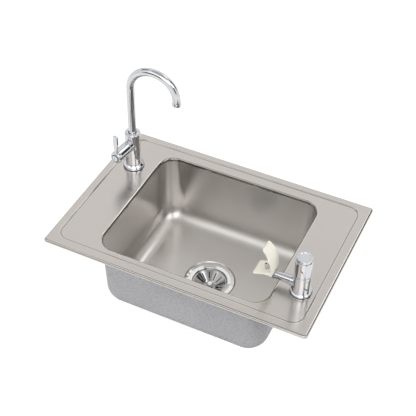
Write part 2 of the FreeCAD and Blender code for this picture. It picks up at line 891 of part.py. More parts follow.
def tap_lever():
    """A flat blade standing on the handle: a waisted neck that widens to a blunt paddle."""
    blade_foot = lever_height - lever_blade_length
    right = [
        (lever_neck / 2, handle_cap_r + lever_seat),
        (lever_neck / 2, handle_r),
        (lever_waist / 2, (handle_r + blade_foot) / 2, lever_height / 3),
        (lever_blade / 2, blade_foot + lever_blade, lever_height / 4),
        (lever_tip / 2, lever_height, lever_tip_r),
    ]
    left = [(-point[0], *point[1:]) for point in reversed(right)]
    across = valve_direction.cross(up)
    foot = valve_base + valve_direction * (handle_end - lever_inset - lever_t)
    wire = outline(right + left, lambda p: foot + across * p.x + up * p.y)
    blade = Part.Face(wire).extrude(valve_direction * lever_t)
    above = valve_z + handle_r + lever_edge_r
    rounded = [edge for edge in blade.Edges if edge.BoundBox.ZMin > above and edge.Length > lever_t * 1.01]
    return blade.makeFillet(lever_edge_r, rounded)


def build_handle():
    cap_start = handle_end - handle_cap_t
    screw_seat = stem_end + clear_gap
    end_r = min(handle_end_r, handle_tip_r - handle_cap_r - handle_gap)
    profile = [
        (stem_r + slip_gap, handle_start),
        (handle_r, handle_start, handle_gap),
        (handle_r, handle_end - handle_taper, handle_taper / 2),
        (handle_tip_r, handle_end, end_r),
        (handle_cap_r, handle_end),
        (handle_cap_r, cap_start),
        (handle_screw_head_r + clear_gap, cap_start),
        (handle_screw_head_r + clear_gap, screw_seat + handle_screw_head_t),
        (handle_screw_r + slip_gap, screw_seat + handle_screw_head_t),
        (handle_screw_r + slip_gap, screw_seat),
        (stem_r + slip_gap, screw_seat),
    ]
    lever = tap_lever()
    parts["tap_handle"] = one_solid(along_valve(profile).cut(lever))
    parts["tap_lever"] = lever
    head = screw_seat + handle_screw_head_t
    screw = [
        (0, stem_end - handle_screw_grip),
        (handle_screw_r, stem_end - handle_screw_grip),
        (handle_screw_r, head),
        (handle_screw_head_r, head, handle_gap / 2),
        (handle_screw_head_r, head + handle_screw_head_t, handle_gap / 2),
        (handle_screw_socket_r, head + handle_screw_head_t),
        (handle_screw_socket_r, head + handle_screw_head_t / 2),
        (0, head + handle_screw_head_t / 2),
    ]
    parts["handle_screw"] = along_valve(screw)
    cap_r = handle_cap_r - slip_gap
    cap = [
        (0, cap_start),
        (cap_r, cap_start),
        (cap_r, handle_end + handle_cap_rise, handle_cap_rise),
        (handle_cap_dimple_r + handle_cap_rise, handle_end + handle_cap_rise, handle_cap_rise / 2),
        (handle_cap_dimple_r, handle_end + handle_cap_rise / 2),
        (0, handle_end + handle_cap_rise / 2),
    ]
    parts["handle_cap"] = along_valve(cap)


def build_tap():
    deck_seat(
        "tap",
        tap_axis,
        tap_ring_r,
        tap_ring_height,
        tap_ring_edge,
        tap_body_r,
        tap_hole_r,
        tap_shank_r,
        shank_nut_flats,
    )
    parts["tap_body"] = tap_body()
    parts["tap_shank"] = shank(tap_axis, tap_shank_r, tap_shank_bore_r, tap_shank_drop, tap_shank_grip)
    build_spout()
    build_valve()
    build_handle()


# Bubbler


body_top = fitting_foot + bubbler_body_height
sleeve_bottom = body_top + bubbler_groove_height
sleeve_top = sleeve_bottom + sleeve_height
spigot_top = sleeve_bottom + bubbler_spigot_height
sleeve_inner_r = bubbler_body_r - sleeve_wall
spigot_r = sleeve_inner_r - sleeve_wall
button_r = sleeve_inner_r - clear_gap
button_top = sleeve_top + button_rise
button_under = button_top - button_plate
gland_bottom = spigot_top - gland_height
seat_valve_top = gland_bottom - button_travel
seat_bottom = seat_valve_top - seat_t
washer_top = seat_bottom - clear_gap
washer_bottom = washer_top - plunger_washer_t
plunger_nut_bottom = washer_bottom - plunger_nut_t
chamber_bottom = plunger_nut_bottom - button_travel - 2 * clear_gap
arm_z = fitting_foot + arm_height
arm_base = bubbler_axis + up * arm_z
arm_direction = Vector(-1, 0, 0)


def bubbler_body():
    body = turned(
        [
            (0, fitting_foot),
            (bubbler_body_r, fitting_foot),
            (bubbler_body_r, body_top, sleeve_edge),
            (bubbler_body_r - bubbler_groove_depth, body_top),
            (bubbler_body_r - bubbler_groove_depth, sleeve_bottom),
            (spigot_r, sleeve_bottom),
            (spigot_r, spigot_top),
            (0, spigot_top),
        ],
        bubbler_axis,
    )
    body = body.fuse(rod(arm_boss_r, 0, arm_boss_end, arm_base, arm_direction))
    shank_top = fitting_foot + bubbler_shank_grip
    body = body.cut(rod(bubbler_shank_r + thread_gap, fitting_foot, shank_top, bubbler_axis))
    body = body.cut(rod(bubbler_shank_bore_r, shank_top, chamber_bottom, bubbler_axis))
    body = body.cut(rod(valve_chamber_r, chamber_bottom, gland_bottom, bubbler_axis))
    body = body.cut(rod(gland_r + thread_gap, gland_bottom, spigot_top, bubbler_axis))
    body = body.cut(rod(arm_spigot_r + slip_gap, arm_socket, arm_boss_end, arm_base, arm_direction))
    drop = bubbler_axis + arm_direction * (arm_socket + arm_bore_r / 2)
    body = body.cut(rod(valve_port_r, arm_z, (seat_valve_top + gland_bottom) / 2, drop))
    over = bubbler_axis + up * ((seat_valve_top + gland_bottom) / 2)
    return one_solid(body.cut(rod(valve_port_r, 0, arm_socket + arm_bore_r / 2, over, arm_direction)))


def upper_sleeve():
    profile = [
        (spigot_r + thread_gap, sleeve_bottom),
        (bubbler_body_r, sleeve_bottom, sleeve_edge),
        (bubbler_body_r, sleeve_top, sleeve_edge),
        (sleeve_inner_r, sleeve_top),
        (sleeve_inner_r, spigot_top),
        (spigot_r + thread_gap, spigot_top),
    ]
    return turned(profile, bubbler_axis)


def push_button():
    profile = [
        (0, button_under + plunger_grip),
        (plunger_r + slip_gap, button_under + plunger_grip),
        (plunger_r + slip_gap, button_under),
        (button_r - button_wall, button_under),
        (button_r - button_wall, button_top - button_skirt),
        (button_r, button_top - button_skirt),
        (button_r, button_top, button_wall / 2),
        (button_dish_r + button_dish_depth, button_top, button_dish_depth / 2),
        (button_dish_r, button_top - button_dish_depth),
        (0, button_top - button_dish_depth),
    ]
    return turned(profile, bubbler_axis)


def helix_point(turn, low, pitch):
    angle = 2 * math.pi * turn
    return Vector(spring_r * math.cos(angle), spring_r * math.sin(angle), low + pitch * turn)


def helix_tangent(turn, pitch):
    angle = 2 * math.pi * turn
    rate = pitch / (2 * math.pi)
    return Vector(-spring_r * math.sin(angle), spring_r * math.cos(angle), rate).normalize()


def arc_on(start, tangent, end):
    """The arc from start, leaving along tangent, to end."""
    chord = end - start
    normal = (chord - tangent * chord.dot(tangent)).normalize()
    radius = chord.dot(chord) / (2 * chord.dot(normal))
    centre = start + normal * radius
    outward = ((start + end) * 0.5 - centre).normalize()
    return Part.Arc(start, centre + outward * radius, end).toShape()


def biarc(start, leaving, end, arriving):
    """Two arcs that join two points and keep both tangents."""
    chord = end - start
    total = leaving + arriving
    spread = 2 * (1 - leaving.dot(arriving))
    along = chord.dot(total)
    reach = (math.sqrt(along * along + spread * chord.dot(chord)) - along) / spread
    joint = (start + leaving * reach + end - arriving * reach) * 0.5
    second = arc_on(end, arriving * -1, joint)
    return [arc_on(start, leaving, joint), second]


def return_spring(low, high):
    """A coil of round wire on quarter-turn biarcs between two heights of the wire's middle."""
    pitch = (high - low) / spring_turns
    quarters = 4 * spring_turns
    edges = []
    for i in range(quarters):
        start = i / 4
        end = (i + 1) / 4
        edges += biarc(
            helix_point(start, low, pitch),
            helix_tangent(start, pitch),
            helix_point(end, low, pitch),
            helix_tangent(end, pitch),
        )
    path = Part.Wire(Part.__sortEdges__(edges))
    section = Part.Wire(Part.makeCircle(spring_wire / 2, helix_point(0, low, pitch), helix_tangent(0, pitch)))
    coil = path.makePipeShell([section], True, False)
    print("return spring: gap between turns", round(pitch - spring_wire, 2))
    coil.translate(bubbler_axis)
    return coil


def build_push_valve():
    parts["push_button"] = push_button()
    stem = [
        (0, washer_top - plunger_tip_length),
        (plunger_tip_r, washer_top - plunger_tip_length),
        (plunger_tip_r, washer_top),
        (plunger_r, washer_top),
        (plunger_r, button_under + plunger_grip),
        (0, button_under + plunger_grip),
    ]
    parts["button_stem"] = turned(stem, bubbler_axis)
    rest = clear_gap + spring_wire / 2
    parts["return_spring"] = return_spring(spigot_top + rest, button_under - rest)
    parts["bubbler_gland"] = tube(gland_r, plunger_r + running_gap, gland_bottom, spigot_top, bubbler_axis)
    seat_r = valve_chamber_r - slip_gap
    parts["bubbler_valve_seat"] = tube(seat_r, seat_bore_r, seat_bottom, seat_valve_top, bubbler_axis)
    tip = plunger_tip_r + slip_gap
    parts["plunger_washer"] = tube(plunger_washer_r, tip, washer_bottom, washer_top, bubbler_axis)
    parts["plunger_nut"] = tube(plunger_nut_r, tip, plunger_nut_bottom, washer_bottom, bubbler_axis)


guard_floor = arm_z + head_r + slip_gap
flap_cos = math.cos(math.radians(guard_flap_slope))
flap_sin = math.sin(math.radians(guard_flap_slope))
flap_direction = Vector(-flap_cos, 0, -flap_sin)
flap_normal = Vector(-flap_sin, 0, flap_cos)
guard_root_corner = Vector(bubbler_x - guard_back - guard_t, bubbler_y, guard_floor + guard_root)


def flap_point(run, rise):
    """A point above the flap's upper face, run along it from the fold."""
    return guard_root_corner + flap_direction * run + flap_normal * rise


def build_arm():
    nut_end = arm_boss_end + arm_nut_t
    parts["arm_nut"] = tube(
        arm_nut_r, arm_spigot_r + slip_gap, arm_boss_end, nut_end, arm_base, arm_direction, arm_nut_t / 4
    )
    arm = [
        (arm_bore_r, arm_socket),
        (arm_spigot_r, arm_socket),
        (arm_spigot_r, nut_end),
        (arm_root_r, nut_end),
        (arm_tip_r, arm_end),
        (arm_bore_r, arm_end),
    ]
    parts["bubbler_arm"] = turned(arm, arm_base, arm_direction)


def nozzle_rod(radius, sink, rise):
    run = (nozzle_station - guard_back - guard_t) / flap_cos
    return rod(radius, -guard_t - sink, rise, flap_point(run, 0), flap_normal)


def bubbler_head():
    """The hub on the arm's end, with a tongue under the flap that thins towards its tip."""
    hub_end = arm_end + head_length
    hub = turned(
        [(0, arm_end), (head_r, arm_end, head_edge_r / 3), (head_r, hub_end, head_edge_r), (0, hub_end)],
        arm_base,
        arm_direction,
    )
    tip = flap_point((head_reach - guard_back - guard_t) / flap_cos, -guard_t - slip_gap)
    start = bubbler_x - arm_end - head_length / 2
    shoulder = arm_z + head_shoulder
    profile = [
        (start, arm_z - head_keel),
        (start, shoulder),
        (tip.x + (shoulder - tip.z) * flap_cos / flap_sin, shoulder),
        (tip.x, tip.z),
        (tip.x, tip.z - head_tip_t),
    ]
    side = bubbler_y - head_width / 2
    wire = outline(profile, lambda p: Vector(p.x, side, p.y))
    tongue = Part.Face(wire).extrude(Vector(0, head_width, 0))
    head = hub.fuse(tongue)
    head = head.cut(rod(arm_bore_r, arm_end, nozzle_station, arm_base, arm_direction))
    return one_solid(head.cut(nozzle_rod(nozzle_r + slip_gap, nozzle_sink, nozzle_rise)))


def mouth_guard():
    """A folded elastomer strip: a flap sloping down to its tip and a hood that leans over it."""
    back = bubbler_x - guard_back
    fold = guard_root_corner
    top_z = fold.z + guard_hood_height
    middle_z = fold.z + guard_hood_height / 2
    middle_x = back - guard_hood_lean / 2 + guard_hood_bow
    tip_top = flap_point(guard_flap_length, 0)
    tip_low = flap_point(guard_flap_length, -guard_t)

    def at(x, z):
        return Vector(x, bubbler_y - guard_width / 2, z)

    outer_top = at(back - guard_hood_lean, top_z)
    inner_top = at(back - guard_hood_lean - guard_t, top_z - guard_t / 2)
    outer = Part.Arc(at(back, fold.z), at(middle_x, middle_z), outer_top)
    inner = Part.Arc(inner_top, at(middle_x - guard_t, middle_z), at(fold.x, fold.z))
    points = [
        at(fold.x, fold.z),
        at(tip_top.x, tip_top.z),
        at(tip_low.x, tip_low.z),
        at(tip_low.x + (guard_floor - tip_low.z) * flap_cos / flap_sin, guard_floor),
        at(back, guard_floor),
        at(back, fold.z),
    ]
    edges = [outer.toShape(), Part.LineSegment(outer_top, inner_top).toShape(), inner.toShape()]
    edges += [Part.LineSegment(start, end).toShape() for start, end in zip(points, points[1:])]
    guard = Part.Face(Part.Wire(edges)).extrude(Vector(0, guard_width, 0))

    def hood_corner(box):
        return box.YLength < 1e-3 and box.ZMin > top_z - guard_t

    def tip_corner(box):
        return box.YLength < 1e-3 and box.XMax < tip_top.x + guard_t

    guard = guard.makeFillet(guard_corner_r, edges_where(guard, hood_corner))
    guard = guard.makeFillet(guard_tip_r, edges_where(guard, tip_corner))
    return one_solid(guard.cut(nozzle_rod(nozzle_r + slip_gap, nozzle_sink, nozzle_rise)))


def build_bubbler():
    deck_seat(
        "bubbler",
        bubbler_axis,
        bubbler_ring_r,
        bubbler_ring_height,
        bubbler_ring_edge,
        bubbler_body_r,
        bubbler_hole_r,
        bubbler_shank_r,
        bubbler_nut_flats,
    )
    parts["bubbler_body"] = bubbler_body()
    parts["bubbler_sleeve"] = upper_sleeve()
    parts["bubbler_shank"] = shank(
        bubbler_axis, bubbler_shank_r, bubbler_shank_bore_r, bubbler_shank_drop, bubbler_shank_grip
    )
    build_push_valve()
    build_arm()
    parts["bubbler_head"] = bubbler_head()
    nozzle = nozzle_rod(nozzle_r, nozzle_sink, nozzle_rise)
    parts["bubbler_nozzle"] = nozzle.cut(nozzle_rod(nozzle_bore_r, nozzle_sink, nozzle_rise))
    parts["mouth_guard"] = mouth_guard()


build_sink()
build_drain()
build_basket()
build_tap()
build_bubbler()

os.makedirs("parts", exist_ok=True)
for name, shape in parts.items():
    shape.exportStep("parts/" + name + ".step")
    print(name, "solids", len(shape.Solids), "valid", shape.isValid(), "volume", round(shape.Volume))
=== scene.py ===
import json
import math
import bmesh
import bpy
from mathutils import Matrix, Vector


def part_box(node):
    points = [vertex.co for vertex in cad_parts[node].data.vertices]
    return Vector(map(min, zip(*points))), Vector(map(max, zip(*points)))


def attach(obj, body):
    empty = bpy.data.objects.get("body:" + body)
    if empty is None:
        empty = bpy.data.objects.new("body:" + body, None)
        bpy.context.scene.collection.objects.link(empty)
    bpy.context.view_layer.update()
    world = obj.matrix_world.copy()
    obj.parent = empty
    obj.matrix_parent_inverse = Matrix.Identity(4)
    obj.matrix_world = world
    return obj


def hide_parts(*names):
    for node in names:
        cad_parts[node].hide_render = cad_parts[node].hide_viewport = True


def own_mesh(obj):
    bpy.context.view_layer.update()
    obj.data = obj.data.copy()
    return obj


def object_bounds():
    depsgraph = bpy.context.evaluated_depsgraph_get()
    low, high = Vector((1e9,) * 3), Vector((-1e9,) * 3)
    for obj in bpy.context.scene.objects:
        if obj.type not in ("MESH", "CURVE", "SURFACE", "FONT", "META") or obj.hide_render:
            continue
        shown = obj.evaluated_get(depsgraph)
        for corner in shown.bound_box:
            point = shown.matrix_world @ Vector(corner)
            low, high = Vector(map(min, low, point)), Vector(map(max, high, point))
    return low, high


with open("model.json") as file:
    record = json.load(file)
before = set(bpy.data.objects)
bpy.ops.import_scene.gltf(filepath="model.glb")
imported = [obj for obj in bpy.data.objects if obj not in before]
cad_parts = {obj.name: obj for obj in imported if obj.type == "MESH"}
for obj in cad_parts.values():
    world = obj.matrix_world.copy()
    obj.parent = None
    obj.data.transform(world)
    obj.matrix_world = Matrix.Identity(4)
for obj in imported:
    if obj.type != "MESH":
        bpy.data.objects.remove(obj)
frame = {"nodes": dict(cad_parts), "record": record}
nodes = frame["nodes"]
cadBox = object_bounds()
scene = bpy.context.scene
mm = 0.001

# places read from the frame
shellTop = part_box("sink_shell")[1].z
ringLow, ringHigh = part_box("tap_base_ring")
bubblerLow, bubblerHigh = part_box("bubbler_base_ring")
flangeLow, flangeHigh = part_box("drain_body")
capLow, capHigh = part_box("handle_cap")
tapAxis = (ringLow + ringHigh) / 2
bubblerAxis = (bubblerLow + bubblerHigh) / 2
drainAxis = (flangeLow + flangeHigh) / 2
capCentre = (capLow + capHigh) / 2


# small helpers for node trees

def emptyTree(owner):
    owner.use_nodes = True
    owner.node_tree.nodes.clear()
    return owner.node_tree


def addNode(tree, kind, inputs=None, **options):
    node = tree.nodes.new(kind)
    for name, value in options.items():
        setattr(node, name, value)
    for name, value in (inputs or {}).items():
        if isinstance(value, bpy.types.NodeSocket):
            tree.links.new(value, node.inputs[name])
        else:
            node.inputs[name].default_value = value
    return node


def calc(tree, operation, first, second=0.0, clamp=False):
    node = addNode(tree, "ShaderNodeMath", {0: first, 1: second}, operation=operation, use_clamp=clamp)
    return node.outputs[0]


def vectorCalc(tree, operation, first, second=(0.0, 0.0, 0.0)):
    node = addNode(tree, "ShaderNodeVectorMath", {0: first, 1: second}, operation=operation)
    return node.outputs["Value" if operation in ("LENGTH", "DOT_PRODUCT") else "Vector"]


def remap(tree, value, low, high, toLow=0.0, toHigh=1.0):
    inputs = {"Value": value, "From Min": low, "From Max": high, "To Min": toLow, "To Max": toHigh}
    return addNode(tree, "ShaderNodeMapRange", inputs).outputs[0]


def spread(tree, value, ends):
    return remap(tree, value, 0.0, 1.0, *ends)


def weigh(tree, first, firstShare, second, secondShare, clamp=False):
    parts = calc(tree, "MULTIPLY", first, firstShare), calc(tree, "MULTIPLY", second, secondShare)
    return calc(tree, "ADD", *parts, clamp)


def blendValue(tree, factor, first, second):
    return addNode(tree, "ShaderNodeMix", {0: factor, 2: first, 3: second}).outputs[0]


def mixColour(tree, factor, first, second):
    node = addNode(tree, "ShaderNodeMix", {0: factor, 6: first, 7: second}, data_type="RGBA")
    return node.outputs[2]


def shade(colour, amount=1.0):
    return tuple(min(1.0, c * amount) for c in colour[:3]) + (1.0,)


def mottle(tree, factor, colour, levels):
    return mixColour(tree, factor, *(shade(colour, level) for level in levels))


def layOver(tree, mask, amount, under, colour):
    return mixColour(tree, calc(tree, "MULTIPLY", mask, amount), under, shade(colour))


def onObject(tree):
    return addNode(tree, "ShaderNodeTexCoord").outputs["Object"]


def heightOf(tree):
    return addNode(tree, "ShaderNodeSeparateXYZ", {0: onObject(tree)}).outputs["Z"]


def flatFrom(tree, centre):
    away = vectorCalc(tree, "SUBTRACT", onObject(tree), centre)
    return vectorCalc(tree, "MULTIPLY", away, (1.0, 1.0, 0.0))


def noise(tree, vector, scale, detail=3.0, roughness=0.6, distortion=0.0):
    inputs = {
        "Vector": vector, "Scale": scale, "Detail": detail, "Roughness": roughness, "Distortion": distortion,
    }
    return addNode(tree, "ShaderNodeTexNoise", inputs).outputs[0]


def startGroup(name, inputs, outputs):
    tree = bpy.data.node_groups.new(name, "ShaderNodeTree")
    for label, kind, value in inputs:
        socket = tree.interface.new_socket(name=label, in_out="INPUT", socket_type="NodeSocket" + kind)
        socket.default_value = value
    for label, kind in outputs:
        tree.interface.new_socket(name=label, in_out="OUTPUT", socket_type="NodeSocket" + kind)
    return tree, tree.nodes.new("NodeGroupInput").outputs, tree.nodes.new("NodeGroupOutput").inputs


def useGroup(tree, name, **values):
    node = tree.nodes.new("ShaderNodeGroup")
    node.node_tree = bpy.data.node_groups[name]
    for label, value in values.items():
        node.inputs[label].default_value = value
    return node.outputs


# effects that several finishes share

def brushLinesGroup():
    tree, given, out = startGroup(
        "brushLines", [("Stretch", "Vector", (8.0, 700.0, 700.0))], [("Lines", "Float"), ("Streak", "Float")]
    )
    place = vectorCalc(tree, "MULTIPLY", onObject(tree), given["Stretch"])
    fine = noise(tree, place, scale=1.0, detail=3.0, roughness=0.65)
    broad = noise(tree, place, scale=0.09, detail=4.0, roughness=0.6)
    tree.links.new(remap(tree, fine, low=0.3, high=0.7), out["Lines"])
    tree.links.new(remap(tree, broad, low=0.32, high=0.68), out["Streak"])


def ringLinesGroup():
    tree, given, out = startGroup(
        "ringLines", [("Centre", "Vector", (0.0, 0.0, 0.0)), ("Density", "Float", 1600.0)],
        [("Lines", "Float")],
    )
    radius = vectorCalc(tree, "LENGTH", flatFrom(tree, given["Centre"]))
    inputs = {"W": calc(tree, "MULTIPLY", radius, given["Density"]), "Scale": 1.0, "Detail": 3.0}
    ring = addNode(tree, "ShaderNodeTexNoise", inputs, noise_dimensions="1D").outputs[0]
    tree.links.new(remap(tree, ring, low=0.3, high=0.7), out["Lines"])


def handMarksGroup():
    tree, given, out = startGroup("handMarks", [("Size", "Float", 14.0)], [("Marks", "Float")])
    smallSize = calc(tree, "MULTIPLY", given["Size"], 7.0)
    cloud = noise(tree, onObject(tree), given["Size"], detail=4.0, roughness=0.55, distortion=0.7)
    small = noise(tree, onObject(tree), smallSize, detail=3.0, roughness=0.6)
    both = weigh(tree, cloud, 0.75, small, 0.25)
    tree.links.new(remap(tree, both, low=0.38, high=0.66), out["Marks"])


def creviceGroup():
    # occlusion mask for crevices: the metal finishes paint shade along it, with dust, and the brass lays its
    # patina there
    tree, given, out = startGroup("crevice", [("Reach", "Float", 0.01)], [("Mask", "Float")])
    hidden = addNode(tree, "ShaderNodeAmbientOcclusion", {"Distance": given["Reach"]}, samples=6)
    shut = remap(tree, calc(tree, "SUBTRACT", 1.0, hidden.outputs["AO"]), low=0.25, high=0.9)
    broken = remap(tree, noise(tree, onObject(tree), scale=260.0), low=0.2, high=0.6)
    tree.links.new(calc(tree, "MULTIPLY", shut, broken), out["Mask"])


def edgeRubGroup():
    tree, given, out = startGroup(
        "edgeRub", [("Radius", "Float", 0.0006)], [("Mask", "Float"), ("Normal", "Vector")]
    )
    rounded = addNode(tree, "ShaderNodeBevel", {"Radius": given["Radius"]}, samples=4).outputs[0]
    plain = addNode(tree, "ShaderNodeNewGeometry").outputs["Normal"]
    same = vectorCalc(tree, "DOT_PRODUCT", rounded, plain)
    turned = remap(tree, calc(tree, "SUBTRACT", 1.0, same), low=0.01, high=0.16)
    broken = remap(tree, noise(tree, onObject(tree), scale=420.0), low=0.3, high=0.62)
    tree.links.new(calc(tree, "MULTIPLY", turned, broken), out["Mask"])
    tree.links.new(rounded, out["Normal"])


def pebbleGroup():
    tree, given, out = startGroup(
        "pebble", [("Size", "Float", 700.0)], [("Height", "Float"), ("Speck", "Float"), ("Patch", "Float")]
    )
    spot = onObject(tree)
    grains = addNode(tree, "ShaderNodeTexVoronoi", {"Vector": spot, "Scale": given["Size"]})
    rough = noise(tree, spot, given["Size"], detail=4.0, roughness=0.7)
    height = calc(tree, "ADD", calc(tree, "MULTIPLY", grains.outputs["Distance"], -0.6), rough)
    speckSize = calc(tree, "MULTIPLY", given["Size"], 0.45)
    speck = noise(tree, spot, speckSize, detail=2.0, roughness=0.5)
    patch = noise(tree, spot, scale=9.0, detail=4.0)
    tree.links.new(height, out["Height"])
    tree.links.new(remap(tree, speck, low=0.42, high=0.68), out["Speck"])
    tree.links.new(remap(tree, patch, low=0.3, high=0.7), out["Patch"])


def pressedEdgeGroup():
    # a band along a rounded rectangle, down to a depth, used for lines that the press has burnished and for
    # painted dark lines of shade and reflection
    tree, given, out = startGroup(
        "pressedEdge",
        [("Straight", "Vector", (0.2, 0.2, 0.0)), ("Centre", "Vector", (0.0, 0.0, 0.0)),
         ("Corner", "Float", 0.03), ("From", "Float", 0.0), ("To", "Float", 0.01), ("Depth", "Float", -1.0)],
        [("Mask", "Float")],
    )
    softAcross, softDown = 1.0 * mm, 2.0 * mm
    size = vectorCalc(tree, "ABSOLUTE", flatFrom(tree, given["Centre"]))
    past = vectorCalc(tree, "SUBTRACT", size, given["Straight"])
    outside = vectorCalc(tree, "LENGTH", vectorCalc(tree, "MAXIMUM", past))
    axes = addNode(tree, "ShaderNodeSeparateXYZ", {0: past}).outputs
    inside = calc(tree, "MINIMUM", calc(tree, "MAXIMUM", axes["X"], axes["Y"]), 0.0)
    distance = calc(tree, "SUBTRACT", calc(tree, "ADD", outside, inside), given["Corner"])
    started = remap(tree, distance, given["From"], calc(tree, "ADD", given["From"], softAcross))
    unended = remap(tree, distance, given["To"], calc(tree, "SUBTRACT", given["To"], softAcross))
    above = remap(tree, heightOf(tree), given["Depth"], calc(tree, "ADD", given["Depth"], softDown))
    tree.links.new(calc(tree, "MULTIPLY", calc(tree, "MULTIPLY", started, unended), above), out["Mask"])


for makeGroup in (brushLinesGroup, ringLinesGroup, handMarksGroup, creviceGroup, edgeRubGroup, pebbleGroup,
                  pressedEdgeGroup):
    makeGroup()
print("shared effects:", len(bpy.data.node_groups), "node groups")


# finishes

def startFinish(name, **sockets):
    material = bpy.data.materials.new(name)
    tree = emptyTree(material)
    surface = addNode(tree, "ShaderNodeBsdfPrincipled", sockets)
    addNode(tree, "ShaderNodeOutputMaterial", {"Surface": surface.outputs[0]})
    return material, tree, surface.inputs


def bumpInto(tree, surface, height, strength, distance, under=None):
    inputs = {"Height": height, "Strength": strength, "Distance": distance}
    if under is not None:
        inputs["Normal"] = under
    bump = addNode(tree, "ShaderNodeBump", inputs)
    tree.links.new(bump.outputs[0], surface["Normal"])


allDepths = -1.0
sinkSteel = {
    "deckColour": (0.585, 0.552, 0.520), "bowlColour": (0.618, 0.595, 0.572), "shades": (0.975, 1.025),
    "deckGrain": (12.0, 1500.0, 1500.0), "bowlGrain": (160.0, 160.0, 160.0), "lineShare": 0.35,
    "deckRough": (0.225, 0.255), "bowlRough": (0.28, 0.32), "marks": 11.0, "smear": 0.015,
    "bump": (0.006, 0.0001), "brushed": 0.8, "brushedTurn": 0.25,
    "brushedAlong": (1.0, 0.03, 0.02),  # a little off X, so that the end walls have a direction too
    "bowlStarts": (-0.004, 0.002),
    "dustAndPaintedShade": 0.10, "reach": 0.006, "soilAndPaintedShade": (0.16, 0.145, 0.125),
    # each edge: outline, burnished band across it and its roughness, painted dark line across it (painted
    # shade and dark reflection) and how much
    "edges": {
        "bowl": {"half": (0.2032, 0.17145), "corner": 0.038, "centre": (0.0, -0.0025), "depth": -0.0045,
                 "band": (-0.003, 0.0065), "rough": 0.06, "line": (-0.0012, 0.0030), "paintedShadeStrength": 0.62},
        "step": {"half": (0.2945, 0.1929), "corner": 0.027, "centre": (-0.0025, 0.0025), "depth": allDepths,
                 "band": (-0.003, 0.0055), "rough": 0.14, "line": (-0.0016, 0.0014), "paintedShadeStrength": 0.50},
        "lip": {"half": (0.3175, 0.2159), "corner": 0.008, "centre": (0.0, 0.0), "depth": allDepths,
                "band": (-0.0055, 0.002), "rough": 0.14, "line": (-0.0045, -0.0012), "paintedShadeStrength": 0.40},
    },
}
# a painted shade ring in the deck round the foot of each fitting
fittingEdge = {
    "depth": allDepths, "band": (-0.002, 0.001), "rough": 0.25, "line": (-0.001, 0.0020), "paintedShadeStrength": 0.65,
}
for label, low, high in (("drain", flangeLow, flangeHigh), ("tapRing", ringLow, ringHigh),
                         ("bubblerRing", bubblerLow, bubblerHigh)):
    radius = (high.x - low.x) / 2
    middle = tuple(((low + high) / 2).to_2d())
    sinkSteel["edges"][label] = {
        **fittingEdge, "half": (radius, radius), "corner": radius, "centre": middle,
    }


def edgeMask(tree, edge, band):
    straight = tuple(half - edge["corner"] for half in edge["half"])
    return useGroup(
        tree, "pressedEdge", Straight=straight + (0.0,), Centre=edge["centre"] + (0.0,),
        Corner=edge["corner"], From=band[0], To=band[1], Depth=edge["depth"],
    )["Mask"]


def makeSinkSteel(look):
    brushed = {"Anisotropic": look["brushed"], "Anisotropic Rotation": look["brushedTurn"]}
    material, tree, surface = startFinish("sinkSteel", Metallic=1.0, **brushed)
    along = addNode(tree, "ShaderNodeCombineXYZ", dict(zip("XYZ", look["brushedAlong"])))
    tree.links.new(along.outputs[0], surface["Tangent"])
    deck = useGroup(tree, "brushLines", Stretch=look["deckGrain"])
    bowl = useGroup(tree, "brushLines", Stretch=look["bowlGrain"])
    marks = useGroup(tree, "handMarks", Size=look["marks"])["Marks"]
    dustAndPaintedShade = useGroup(tree, "crevice", Reach=look["reach"])["Mask"]
    onDeck = remap(tree, heightOf(tree), *look["bowlStarts"])
    lines = blendValue(tree, onDeck, bowl["Lines"], deck["Lines"])
    streak = blendValue(tree, onDeck, bowl["Streak"], deck["Streak"])
    tone = weigh(tree, lines, look["lineShare"], streak, 1.0 - look["lineShare"])
    dark, pale = (
        mixColour(tree, onDeck, shade(look["bowlColour"], level), shade(look["deckColour"], level))
        for level in look["shades"]
    )
    # darker in crevices: painted shade, with dust
    colour = layOver(tree, dustAndPaintedShade, look["dustAndPaintedShade"], mixColour(tree, tone, dark, pale), look["soilAndPaintedShade"])
    deckRough = spread(tree, tone, look["deckRough"])
    bowlRough = spread(tree, tone, look["bowlRough"])
    rough = blendValue(tree, onDeck, bowlRough, deckRough)
    rough = calc(tree, "ADD", rough, calc(tree, "MULTIPLY", marks, look["smear"]))
    for edge in look["edges"].values():
        rough = blendValue(tree, edgeMask(tree, edge, edge["band"]), rough, edge["rough"])
        # painted dark lines along the bowl edge, the step, the lip and round the fittings: painted shade and
        # dark reflection
        colour = layOver(tree, edgeMask(tree, edge, edge["line"]), edge["paintedShadeStrength"], colour, look["soilAndPaintedShade"])
    tree.links.new(colour, surface["Base Color"])
    tree.links.new(rough, surface["Roughness"])
    bumpInto(tree, surface, calc(tree, "MULTIPLY", lines, onDeck), *look["bump"])
    return material


railSteel = {
    "colour": (0.50, 0.50, 0.49), "shades": (0.86, 1.08), "rubbed": 1.35, "rough": (0.34, 0.52),
    "marks": 45.0, "edge": 0.0004, "bump": (0.08, 0.0002),
}


def makeRailSteel(look):
    material, tree, surface = startFinish("railSteel", Metallic=1.0)
    marks = useGroup(tree, "handMarks", Size=look["marks"])["Marks"]
    rub = useGroup(tree, "edgeRub", Radius=look["edge"])
    zinc = mottle(tree, marks, look["colour"], look["shades"])
    zinc = mixColour(tree, rub["Mask"], zinc, shade(look["colour"], look["rubbed"]))
    tree.links.new(zinc, surface["Base Color"])
    tree.links.new(spread(tree, marks, look["rough"]), surface["Roughness"])
    bumpInto(tree, surface, marks, *look["bump"], rub["Normal"])
    return material


undercoat = {
    "colour": (0.52, 0.52, 0.53), "shades": (0.94, 1.06), "speck": (0.30, 0.30, 0.31), "speckled": 0.55,
    "size": 520.0, "rough": (0.62, 0.82), "bump": (0.45, 0.0006), "specular": 0.28,
}


